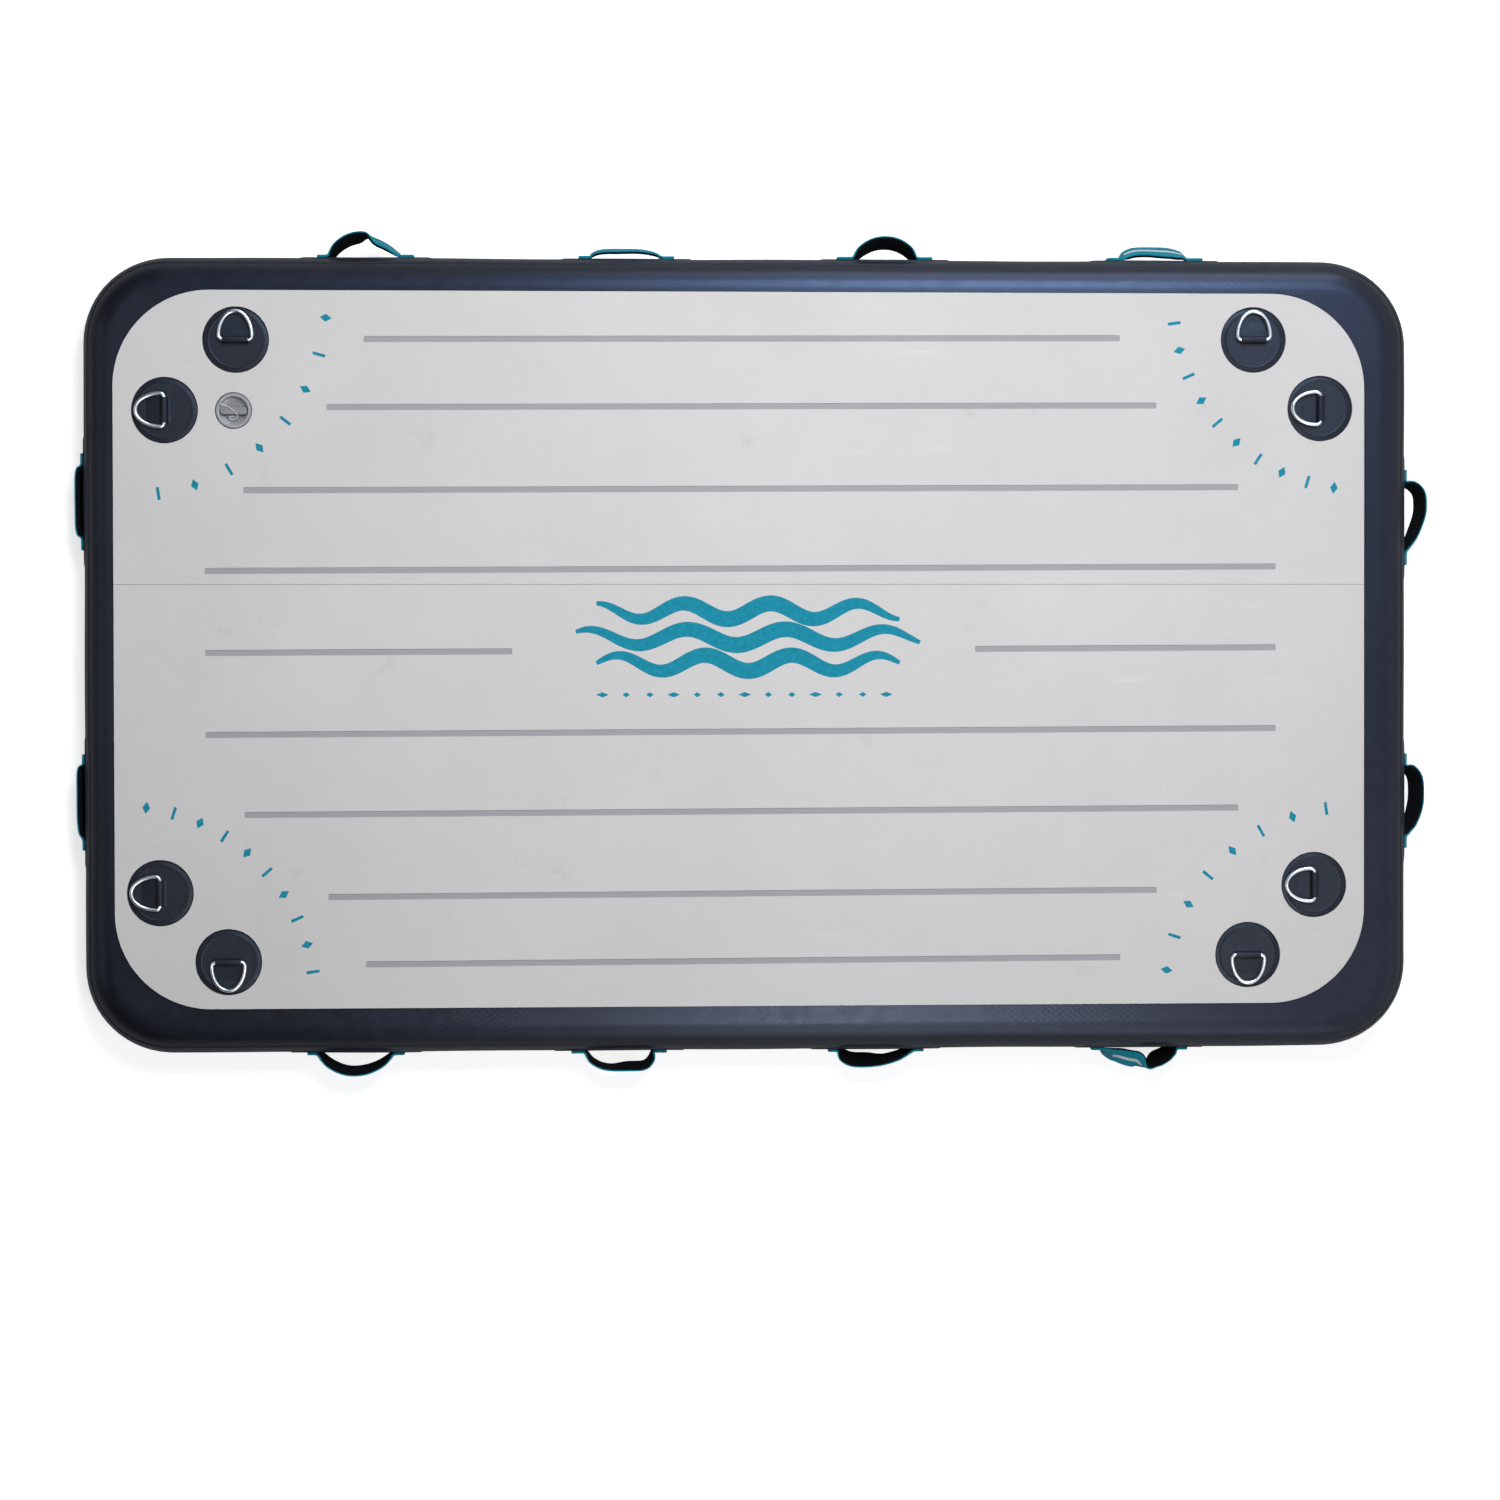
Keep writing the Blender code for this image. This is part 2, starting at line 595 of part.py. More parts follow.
def keeper_outline(bar_level, foot_level):
    """The sleeve that holds the ring's bar, seen from its end: a dome with short feet."""
    radius = RING_WIRE / 2 + RUNNING_GAP + KEEPER_WALL
    dome = []
    for i in range(KEEPER_STEPS + 1):
        angle = math.pi * i / KEEPER_STEPS
        dome.append((radius * math.cos(angle), bar_level + radius * math.sin(angle)))
    feet = [(-radius - KEEPER_FOOT, foot_level), (radius + KEEPER_FOOT, foot_level)]
    return dome + feet


def ring_patch_mesh():
    """The round patch, its raised cap layer and the keeper, with the bar's bore."""
    rim = PATCH_DIAMETER / 2
    cap = PATCH_CAP_DIAMETER / 2
    top = PATCH_THICKNESS + PATCH_CAP_THICKNESS
    profile = ((0, 0), (rim, 0), (rim, PATCH_THICKNESS),
               (cap + PATCH_CAP_THICKNESS / 2, PATCH_THICKNESS), (cap, top), (0, top))
    patch = helper("patch", lathe("patch", profile, PATCH_SIDES))
    bar_level = top + RING_AIR + RING_WIRE / 2
    half = KEEPER_LENGTH / 2
    side = keeper_outline(bar_level, PATCH_THICKNESS)
    boolean(patch, helper("keeper", bar("keeper", side, half)), "UNION")
    bore = [(y, z + bar_level) for y, z in circle(RING_WIRE / 2 + RUNNING_GAP, RING_BORE_SIDES)]
    boolean(patch, helper("bore", bar("bore", bore, half + CUT_OVERRUN)), "DIFFERENCE")
    return baked("ring_patch", patch), bar_level


def d_rings():
    """Eight patches, each with a steel ring that swings about its bar."""
    patch, bar_level = ring_patch_mesh()
    base = DECK_LEVEL + SEAT_GAP
    for name, x, y, heading in ring_places():
        turn = heading - 90
        place = (x, y, base)
        shade_round(add_object("ring_patch_" + name, patch.copy(), "patch_rubber", place, turn))
        ring = tube("d_ring_" + name, ring_route(), RING_WIRE, "steel", closed=True)
        ring.location = (x, y, base + bar_level)
        ring.rotation_euler = (0, 0, math.radians(turn))


def handle_patch_mesh():
    """A lens-shaped sheet that follows the wall, in a frame with the wall facing +Y."""
    proud = SEAT_GAP + RAIL_BAND_THICKNESS + SEAT_GAP
    half_height = HANDLE_PATCH_HEIGHT / 2
    back = clipped(wall_curve(proud), half_height)
    face = clipped(wall_curve(proud + HANDLE_PATCH_THICKNESS), half_height)
    half = HANDLE_PATCH_LENGTH / 2 + CUT_OVERRUN
    sheet = helper("patch_sheet", bar("patch_sheet", back + face[::-1], half))
    lens = []
    for i in range(HANDLE_PATCH_SIDES):
        angle = 2 * math.pi * (i + 1 / 2) / HANDLE_PATCH_SIDES
        along = math.copysign(abs(math.cos(angle)) ** HANDLE_PATCH_ROUNDNESS, math.cos(angle))
        rise = math.copysign(abs(math.sin(angle)) ** HANDLE_PATCH_ROUNDNESS, math.sin(angle))
        lens.append((along * HANDLE_PATCH_LENGTH / 2, rise * (half_height + SEAT_GAP)))
    near = reach_at(back, half_height) - CUT_OVERRUN
    far = reach_at(face, 0) + CUT_OVERRUN
    cut = bridged("lens", [(x, near, z) for x, z in lens], [(x, far, z) for x, z in lens])
    boolean(sheet, helper("lens", cut), "INTERSECT")
    return baked("handle_patch", sheet)


def arch_height(place, peak, square_left, square_right):
    """Height of a handle's arch, 0 at its feet and 1 at its peak, for a place from -1 to 1."""
    if place < peak:
        return 1 - ((peak - place) / (peak + 1)) ** square_left
    return 1 - ((place - peak) / (1 - peak)) ** square_right


def handle_stations(shares):
    """Along the strap: x, how far the inner face stands off, its slope and its tip."""
    _, span_share, reach_share, peak, square_left, square_right, tip_left, tip_right = shares
    half_span = span_share * HANDLE_SPAN / 2
    room = reach_share * HANDLE_REACH - PADDED_THICKNESS
    places = [math.sin(math.pi / 2 * (2 * i / HANDLE_STEPS - 1)) for i in range(HANDLE_STEPS + 1)]
    places[0], places[-1] = -1, 1
    stations = []
    for place in places:
        height = arch_height(place, peak, square_left, square_right)
        tip_share = tip_left * (1 - place) / 2 + tip_right * (1 + place) / 2
        tip_limit = min(1, room / HANDLE_WIDTH) * height
        tip_most = max(abs(tip_left), abs(tip_right))
        lift = height * room * (1 - tip_most / 2)
        stations.append((place * half_span, lift, math.asin(tip_share * tip_limit), height))
    return stations


def handle_mesh(name, shares):
    """A padded webbing strap, sewn flat to the patch at both ends, arched between them."""
    proud = 3 * SEAT_GAP + RAIL_BAND_THICKNESS + HANDLE_PATCH_THICKNESS
    inner = wall_curve(proud)
    outer = wall_curve(proud + WEBBING_THICKNESS)
    rows = [rise for _, rise in clipped(inner, HANDLE_WIDTH / 2)]
    stations = handle_stations(shares)
    half_tail = HANDLE_LENGTH / 2
    stations = [(-half_tail, 0, 0, 0)] + stations + [(half_tail, 0, 0, 0)]
    front = reach_at(inner, 0)
    points = []
    for i, (x, lift, tip, height) in enumerate(stations):
        before = stations[max(i - 1, 0)]
        after = stations[min(i + 1, len(stations) - 1)]
        sewn = height == 0
        slope = 0 if sewn else math.atan2(after[1] - before[1], after[0] - before[0])
        share = min(1, height * 2)
        away = Vector((-math.sin(slope), math.cos(slope), 0))
        rise_axis = Vector((0, 0, math.cos(tip))) - away * math.sin(tip)
        normal = away * math.cos(tip) + Vector((0, 0, math.sin(tip)))
        foot = Vector((x, front + lift, 0))
        near = [(1 - share) * (reach_at(inner, rise) - front) for rise in rows]
        far = [(1 - share) * (reach_at(outer, rise) - front) + share * PADDED_THICKNESS
               for rise in rows]
        section = list(zip(rows, near)) + list(zip(rows, far))[::-1]
        points += [tuple(foot + rise_axis * rise + normal * out) for rise, out in section]
    count = 2 * len(rows)
    faces = [tuple(range(count)), tuple(range(len(points) - count, len(points)))]
    for i in range(len(stations) - 1):
        for j in range(count):
            k = (j + 1) % count
            faces.append((i * count + j, i * count + k, (i + 1) * count + k, (i + 1) * count + j))
    return mesh_of(name, points, faces)


def handles():
    """Four handles on each long side and two on each short one, each on its patch."""
    patch = handle_patch_mesh()
    for side, rows in HANDLE_SHARES.items():
        turn = HANDLE_TURNS[side]
        along = Vector((math.cos(math.radians(turn)), math.sin(math.radians(turn))))
        out = Vector((-along.y, along.x))
        long_side = side in ("back", "front")
        half = (HULL_LENGTH if long_side else HULL_WIDTH) / 2
        flat = FLAT_HALF_WIDTH if long_side else FLAT_HALF_LENGTH
        for i, shares in enumerate(rows):
            place = along * (shares[0] * half) + out * flat
            where = (place.x, place.y, MID_HEIGHT)
            label = f"{side}_{i + 1}"
            backing = add_object("handle_patch_" + label, patch.copy(), "patch_rubber", where, turn)
            shade_round(backing)
            strap = handle_mesh("handle_" + label, shares)
            shade_round(add_object("handle_" + label, strap, "webbing", where, turn), 60)


def valve_body():
    """Flange, stepped cup and throat in one turned piece, with a spider across the throat."""
    barrel = BARREL_DIAMETER / 2
    throat = THROAT_DIAMETER / 2
    flange = FLANGE_DIAMETER / 2
    cup = CUP_DIAMETER / 2
    straight = FLANGE_TOP - CUP_STRAIGHT
    shoulder = CUP_FLOOR + CUP_FLOOR_THICKNESS / 2
    profile = (
        (cup, FLANGE_TOP - FLANGE_EDGE / 2), (cup + FLANGE_EDGE, FLANGE_TOP),
        (flange - FLANGE_EDGE, FLANGE_TOP), (flange, FLANGE_TOP - FLANGE_EDGE),
        (flange, FLANGE_BOTTOM), (barrel, FLANGE_BOTTOM), (barrel, BARREL_BOTTOM),
        (throat + THROAT_WALL, BARREL_BOTTOM), (throat + THROAT_WALL, SEAT_LEVEL),
        (throat, SEAT_LEVEL), (throat, CUP_FLOOR), (CUP_FLOOR_DIAMETER / 2, CUP_FLOOR),
        (CUP_FLOOR_DIAMETER / 2 + FLANGE_EDGE, shoulder), (cup, straight),
    )
    where = (VALVE_X, VALVE_Y, 0)
    shape = lathe("valve_body", profile, VALVE_SIDES)
    body = add_object("valve_body", shape, "valve_plastic", where)
    low = SPIDER_TOP - SPIDER_THICKNESS
    reach = throat + THROAT_WALL / 2
    for i in range(SPIDER_ARMS):
        outline = rectangle(-reach, reach, -SPIDER_ARM / 2, SPIDER_ARM / 2)
        arm = prism(f"spider_arm_{i}", outline, low, SPIDER_TOP)
        boolean(body, helper(f"spider_arm_{i}", arm, where, 180 * i / SPIDER_ARMS), "UNION")
    hub = circle(SPIDER_HUB_DIAMETER / 2, PLUNGER_SIDES)
    hub = prism("spider_hub", hub, low - SEAT_GAP, SPIDER_TOP + SEAT_GAP)
    boolean(body, helper("spider_hub", hub, where), "UNION")
    bore = circle(STEM_DIAMETER / 2 + RUNNING_GAP, PLUNGER_SIDES)
    bore = prism("stem_bore", bore, low - CUT_OVERRUN, SPIDER_TOP + CUT_OVERRUN)
    boolean(body, helper("stem_bore", bore, where), "DIFFERENCE")
    angle = math.radians(TETHER_HOLE_ANGLE)
    ledge = (cup + FLANGE_DIAMETER / 2) / 2
    hole = circle(TETHER_HOLE_DIAMETER / 2, TETHER_HOLE_SIDES,
                  ledge * math.cos(angle), ledge * math.sin(angle))
    hole = prism("tether_hole", hole, FLANGE_TOP - TETHER_HOLE_DEPTH, FLANGE_TOP + CUT_OVERRUN)
    boolean(body, helper("tether_hole", hole, where), "DIFFERENCE")
    shade_round(body)


def turned(name, profile, finish, sides=VALVE_SIDES):
    """A turned piece on the valve's axis."""
    piece = add_object(name, lathe(name, profile, sides), finish, (VALVE_X, VALVE_Y, 0))
    shade_round(piece)
    return piece


def washer_profile(bore, rim, low, high):
    return ((bore, low), (rim, low), (rim, high), (bore, high))


def valve_seat_parts():
    """The gasket under the flange and the notched nut that clamps the skin from inside."""
    bore = BARREL_DIAMETER / 2 + SEAT_GAP
    low = DECK_LEVEL + SEAT_GAP
    gasket = washer_profile(bore, FLANGE_DIAMETER / 2 - FLANGE_EDGE, low, low + GASKET_THICKNESS)
    turned("valve_gasket", gasket, "seal_rubber")
    high = DECK_LEVEL - SKIN_THICKNESS - SEAT_GAP
    nut = turned("valve_clamp_nut", washer_profile(bore, NUT_DIAMETER / 2, high - NUT_HEIGHT, high),
                 "valve_plastic")
    notches = []
    for i in range(NUT_NOTCHES):
        angle = 2 * math.pi * i / NUT_NOTCHES
        rim = NUT_DIAMETER / 2
        x, y = rim * math.cos(angle), rim * math.sin(angle)
        outline = circle(NUT_NOTCH / 2, NUT_NOTCH_SIDES, x, y)
        notches.append(prism("notch", outline, high - NUT_HEIGHT - CUT_OVERRUN, high - NUT_HEIGHT / 2))
    cutter = helper("nut_notches", merge("nut_notches", notches), (VALVE_X, VALVE_Y, 0))
    boolean(nut, cutter, "DIFFERENCE")


def plunger():
    """The spring-loaded stem whose disc seals the throat, its washer and its spring."""
    stem = STEM_DIAMETER / 2
    button = BUTTON_DIAMETER / 2
    disc = SEAL_DISC_DIAMETER / 2
    disc_top = SEAT_LEVEL - SEAT_GAP
    disc_low = disc_top - SEAL_DISC_THICKNESS
    edge = BUTTON_HEIGHT / 4
    profile = ((0, disc_low), (disc - edge, disc_low), (disc, disc_low + edge), (disc, disc_top),
               (stem, disc_top), (stem, BUTTON_BOTTOM), (button, BUTTON_BOTTOM),
               (button, BUTTON_TOP - edge), (button - edge, BUTTON_TOP), (0, BUTTON_TOP))
    turned("valve_plunger", profile, "valve_plastic", PLUNGER_SIDES)
    bore = stem + RUNNING_GAP
    washer_top = WASHER_BOTTOM + WASHER_THICKNESS
    washer = washer_profile(bore, WASHER_DIAMETER / 2, WASHER_BOTTOM, washer_top)
    turned("valve_spring_washer", washer, "steel", PLUNGER_SIDES)
    low = SPIDER_TOP + 2 * SEAT_GAP + SPRING_WIRE / 2
    high = WASHER_BOTTOM - SEAT_GAP - SPRING_WIRE / 2
    count = SPRING_TURNS * SPRING_STEPS
    radius = SPRING_DIAMETER / 2
    coil = []
    for i in range(count + 1):
        angle = 2 * math.pi * i / SPRING_STEPS
        height = low + (high - low) * i / count
        coil.append((VALVE_X + radius * math.cos(angle), VALVE_Y + radius * math.sin(angle), height))
    tube("valve_spring", coil, SPRING_WIRE, "steel", resolution=1)
    gap = (high - low) / SPRING_TURNS - SPRING_WIRE
    print("least gap between the spring's turns:", round(gap / MM, 2), "mm")


def grip_outline():
    """The grip bar seen from above: rounded ends, narrower in the middle."""
    half = GRIP_LENGTH / 2 - GRIP_ROUND
    wide = GRIP_WIDTH / 2 - GRIP_ROUND
    waist = GRIP_WAIST / 2
    outline = []
    for side_x, side_y, start in CORNERS:
        outline += rounded_corner(side_x * half, side_y * wide, GRIP_ROUND, start, GRIP_ROUND_STEPS)
        if side_x == side_y:
            for place in (half / 2, -half / 2):
                outline.append((side_x * place, side_y * waist))
    return outline


def valve_cap():
    """The cap's disc, plug and neck turned in one, with the grip bar joined on top."""
    disc_low = CUP_FLOOR + SEAT_GAP + CAP_SEAL_THICKNESS + SEAT_GAP
    disc_top = disc_low + CAP_DISC_THICKNESS
    plug = THROAT_DIAMETER / 2 - RUNNING_GAP
    hollow = plug - CAP_PLUG_WALL
    neck = CAP_NECK_DIAMETER / 2
    grip_low = disc_top + GRIP_LIFT
    plug_low = disc_low - CAP_PLUG_LENGTH
    crown = disc_top - CAP_CROWN
    neck_top = grip_low + GRIP_HEIGHT / 2
    profile = ((0, crown), (hollow, crown), (hollow, plug_low), (plug, plug_low), (plug, disc_low),
               (CAP_DIAMETER / 2, disc_low), (CAP_DIAMETER / 2, disc_top), (neck, disc_top),
               (neck, neck_top), (0, neck_top))
    cap = turned("valve_cap", profile, "valve_plastic")
    grip = prism("grip", grip_outline(), grip_low, grip_low + GRIP_HEIGHT)
    shape = bmesh.new()
    shape.from_mesh(grip)
    top = max(v.co.z for v in shape.verts)
    rim = [e for e in shape.edges if all(v.co.z == top for v in e.verts)]
    bmesh.ops.bevel(shape, geom=rim, offset=GRIP_EDGE, segments=1, affect="EDGES")
    shape.to_mesh(grip)
    shape.free()
    boolean(cap, helper("grip", grip, (VALVE_X, VALVE_Y, 0)), "UNION")
    left = TETHER_END_ROUTE[-1][0] * MM + SEAT_GAP
    middle = TETHER_END_ROUTE[-1][1] * MM
    half = TIE_LUG_WIDTH / 2
    outline = rectangle(left, left + TIE_LUG_WIDTH, middle - half, middle + half)
    lug = prism("tie_lug", outline, disc_low + CAP_DISC_THICKNESS / 2, disc_top + TIE_LUG_HEIGHT)
    boolean(cap, helper("tie_lug", lug, (VALVE_X, VALVE_Y, 0)), "UNION")
    low = CUP_FLOOR + SEAT_GAP
    rim = CAP_DIAMETER / 2 - GRIP_EDGE
    seal = washer_profile(plug + RUNNING_GAP, rim, low, low + CAP_SEAL_THICKNESS)
    turned("valve_cap_seal", seal, "seal_rubber")


def tether():
    """The cap's string: one stretch from the flange to the cap's axis, one from there on."""
    for name, route in (("cap_tether", TETHER_ROUTE), ("cap_tether_end", TETHER_END_ROUTE)):
        places = [(VALVE_X + x * MM, VALVE_Y + y * MM, DECK_LEVEL + z * MM) for x, y, z in route]
        smooth = smooth_route(places, TETHER_STEP)
        lengths = [(b - a).length for a, b in zip(smooth, smooth[1:])]
        if name == "cap_tether":
            smooth[-1] -= (smooth[-1] - smooth[-2]).normalized() * SEAT_GAP
        tube(name, smooth, TETHER_DIAMETER, "string")
        print(name, "length", round(sum(lengths) / MM, 1), "mm,", len(smooth), "points")


def main():
    clear_scene()
    skins()
    side_wall()
    drop_stitch_core()
    deck()
    d_rings()
    handles()
    valve_body()
    valve_seat_parts()
    plunger()
    valve_cap()
    tether()


main()
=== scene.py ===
import bpy, bmesh, math
from mathutils import Matrix, Vector


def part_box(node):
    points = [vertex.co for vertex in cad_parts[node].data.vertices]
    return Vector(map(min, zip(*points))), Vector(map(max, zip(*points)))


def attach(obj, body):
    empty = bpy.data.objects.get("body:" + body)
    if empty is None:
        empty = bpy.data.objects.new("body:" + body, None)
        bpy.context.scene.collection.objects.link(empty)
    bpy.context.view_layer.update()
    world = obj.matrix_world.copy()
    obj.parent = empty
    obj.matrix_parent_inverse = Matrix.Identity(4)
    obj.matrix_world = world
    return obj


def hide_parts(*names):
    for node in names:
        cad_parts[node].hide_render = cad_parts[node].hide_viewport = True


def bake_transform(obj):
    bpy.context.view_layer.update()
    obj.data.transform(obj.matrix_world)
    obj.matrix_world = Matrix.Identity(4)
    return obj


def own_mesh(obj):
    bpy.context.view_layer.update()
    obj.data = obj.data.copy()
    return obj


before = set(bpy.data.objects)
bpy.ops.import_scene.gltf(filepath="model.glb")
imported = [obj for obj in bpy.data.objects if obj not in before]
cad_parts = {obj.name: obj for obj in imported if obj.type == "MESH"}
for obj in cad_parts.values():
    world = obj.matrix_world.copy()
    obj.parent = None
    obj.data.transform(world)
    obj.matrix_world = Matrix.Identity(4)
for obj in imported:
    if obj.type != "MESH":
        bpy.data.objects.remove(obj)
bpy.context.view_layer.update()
scene = bpy.context.scene
scene.view_settings.view_transform = "Standard"
print("frame loaded")

mm = 0.001
deckLevel = 152 * mm  # top of the hull's upper skin
midHeight = 76 * mm
valveCentre = Vector((-0.8778237, 0.4133419, 0))


# camera

view = {"place": (-0.1952, -0.1039, 5.0), "turn": (-0.012245, -0.039572, -0.002072), "lens": 68.11, "sensor": 36}


def makeCamera():
    data = bpy.data.cameras.new("topCamera")
    data.lens, data.sensor_width = view["lens"], view["sensor"]
    camera = bpy.data.objects.new("topCamera", data)
    camera.location, camera.rotation_euler = view["place"], view["turn"]
    scene.collection.objects.link(camera)
    scene.camera = camera


makeCamera()


# node graph helpers

def newLook(name):
    look = bpy.data.materials.new(name)
    look.use_nodes = True
    return look, look.node_tree, look.node_tree.nodes["Principled BSDF"]


def feed(tree, socket, value):
    # value: a plain value or another node's output
    if isinstance(value, bpy.types.NodeSocket):
        tree.links.new(value, socket)
    else:
        socket.default_value = value


def addNode(tree, kind, inputs=(), **settings):
    made = tree.nodes.new(kind)
    for key, value in settings.items():
        setattr(made, key, value)
    for key, value in inputs:
        feed(tree, made.inputs[key], value)
    return made


def dress(tree, shader, inputs):
    for key, value in inputs.items():
        feed(tree, shader.inputs[key], value)


def calc(tree, operation, *values):
    return addNode(tree, "ShaderNodeMath", enumerate(values), operation=operation).outputs[0]


def objectPlace(tree):
    return addNode(tree, "ShaderNodeTexCoord").outputs["Object"]


def noise(tree, place, scale, detail=3, coarse=0.5):
    inputs = [("Vector", place), ("Scale", scale), ("Detail", detail), ("Roughness", coarse)]
    return addNode(tree, "ShaderNodeTexNoise", inputs).outputs["Fac"]


def remap(tree, value, span, to=(0, 1)):
    return addNode(tree, "ShaderNodeMapRange", enumerate((value, *span, *to))).outputs[0]


def mottle(tree, place, scale, detail=3, span=(0.3, 0.7), to=(0, 1), coarse=0.5):
    return remap(tree, noise(tree, place, scale, detail, coarse), span, to)


def blendColour(tree, share, first, second):
    return addNode(tree, "ShaderNodeMix", [(0, share), (6, first), (7, second)], data_type="RGBA").outputs[2]


def addBump(tree, shader, height, strength, depth, under=None):
    bump = addNode(tree, "ShaderNodeBump", [("Height", height), ("Strength", strength), ("Distance", depth)])
    if under is not None:
        tree.links.new(under, bump.inputs["Normal"])
    tree.links.new(bump.outputs[0], shader.inputs["Normal"])
    return bump.outputs[0]


def rgb(*screen):
    # screen colour 0..255 to the shader's linear values
    return tuple(v / 255 / 12.92 if v < 11 else ((v / 255 + 0.055) / 1.055) ** 2.4 for v in screen) + (1,)


def shade(colour, factor, lift=0.0):
    return tuple(min(1, v * factor + lift) for v in colour[:3]) + (1,)


# finishes

dents = {  # left by the yarns where the skin is near them, spacing along and across
    "pitch": (12.5 * mm, 10.5 * mm), "wave": (-0.9, 0.2), "topFade": (128 * mm, 150 * mm), "lowFade": (24 * mm, 2 * mm),
    "strength": 0.16, "depth": 0.5 * mm,
}


def coatedFabric(name, colour, sheen, dimples, roughness, gloss):
    # fine grain, slight cloudiness, and the dents of the drop-stitch yarns
    look, tree, shader = newLook(name)
    place = objectPlace(tree)
    dress(tree, shader, {
        "Base Color": blendColour(tree, mottle(tree, place, 5, 4), shade(colour, 0.80), shade(colour, 1.18)),
        "Roughness": mottle(tree, place, 40, 2, to=(roughness - 0.03, roughness + 0.04)),
        "Specular Tint": sheen, "Specular IOR Level": gloss,
    })
    normal = addBump(tree, shader, noise(tree, place, 900, 2), 0.25, 0.4 * mm)
    if dimples:
        x, y, z = addNode(tree, "ShaderNodeSeparateXYZ", [(0, place)]).outputs
        waves = [calc(tree, "COSINE", calc(tree, "MULTIPLY", line, 2 * math.pi / pitch))
                 for line, pitch in zip((x, y), dents["pitch"])]
        depth = remap(tree, calc(tree, "MULTIPLY", *waves), dents["wave"])
        fade = calc(tree, "MAXIMUM", remap(tree, z, dents["topFade"]), remap(tree, z, dents["lowFade"]))
        patchy = mottle(tree, place, 2.5, 2, (0.35, 0.62), (0.25, 1))
        for share in (fade, patchy):
            depth = calc(tree, "MULTIPLY", depth, share)
        addBump(tree, shader, depth, dents["strength"], dents["depth"], under=normal)
    return look


def foamSheet(name, colour, scuffs):
    # closed-cell foam with a brushed top
    look, tree, shader = newLook(name)
    place = objectPlace(tree)
    tone = blendColour(tree, mottle(tree, place, 3.5, 4, coarse=0.6), shade(colour, 0.955), shade(colour, 1.035))
    specks = calc(tree, "MULTIPLY", mottle(tree, place, 260, 3, (0.25, 0.75), coarse=0.7), 0.55)
    tone = blendColour(tree, specks, tone, shade(colour, 0.93))
    if scuffs:
        stretch = [("Vector", place), ("Rotation", (0, 0, 0.7)), ("Scale", (1.2, 16, 1))]
        slanted = addNode(tree, "ShaderNodeMapping", stretch).outputs[0]
        streaks = mottle(tree, slanted, 3, 5, (0.66, 0.74), (0, 0.30), 0.55)
        streaks = calc(tree, "MULTIPLY", streaks, mottle(tree, place, 2.2, 1, (0.52, 0.62)))
        tone = blendColour(tree, streaks, tone, rgb(240, 240, 240))
        smudges = mottle(tree, place, 9, 5, (0.64, 0.76), (0, 0.16), 0.7)
        tone = blendColour(tree, smudges, tone, rgb(150, 149, 147))
    dress(tree, shader, {"Base Color": tone, "Roughness": 0.92, "Specular IOR Level": 0.18})
    grain = addBump(tree, shader, noise(tree, place, 1400, 2), 0.35, 0.5 * mm)
    addBump(tree, shader, noise(tree, place, 55), 0.12, 2 * mm, under=grain)
    return look


def inkLook(name, colour):
    look, tree, shader = newLook(name)
    place = objectPlace(tree)
    wear = mottle(tree, place, 120, 4, (0.3, 0.72), coarse=0.65)
    dress(tree, shader, {"Base Color": blendColour(tree, wear, colour, shade(colour, 1.25, 0.01)),
                         "Roughness": 0.75, "Specular IOR Level": 0.25})
    addBump(tree, shader, noise(tree, place, 1400, 2), 0.3, 0.4 * mm)
    return look


rubber = {"shades": (0.85, 1.15), "clouds": 28, "roughScale": 90, "roughSpread": (-0.06, 0.08), "grain": (700, 2),
          "bump": (0.25, 0.4 * mm), "gloss": 0.42, "tint": (1, 1, 1, 1)}
plastic = {"shades": (0.93, 1.06), "clouds": 70, "roughScale": 300, "roughSpread": (-0.05, 0.07), "grain": (1800, 1),
           "bump": (0.15, 0.2 * mm), "gloss": 0.5, "tint": (1, 1, 1, 1)}
patchTint = (0.62, 0.68, 0.78, 1)


def mouldedLook(name, colour, roughness, kind, **changes):
    # rubber or plastic: clouds in colour and roughness, and a fine grain
    look, tree, shader = newLook(name)
    place = objectPlace(tree)
    kind = {**kind, **changes}
    dark, pale = (shade(colour, factor) for factor in kind["shades"])
    rough = tuple(roughness + spread for spread in kind["roughSpread"])
    dress(tree, shader, {"Base Color": blendColour(tree, mottle(tree, place, kind["clouds"]), dark, pale),
                         "Roughness": mottle(tree, place, kind["roughScale"], 2, to=rough),
                         "Specular IOR Level": kind["gloss"], "Specular Tint": kind["tint"]})
    addBump(tree, shader, noise(tree, place, *kind["grain"]), *kind["bump"])
    return look


def metalLook(name, colour, roughness):
    look, tree, shader = newLook(name)
    place = objectPlace(tree)
    smear = noise(tree, place, 60, 4, 0.6)
    dress(tree, shader, {"Base Color": blendColour(tree, smear, shade(colour, 0.93), colour), "Metallic": 1,
                         "Roughness": mottle(tree, place, 90, 2, to=(roughness * 0.92, roughness * 1.1))})
    return look


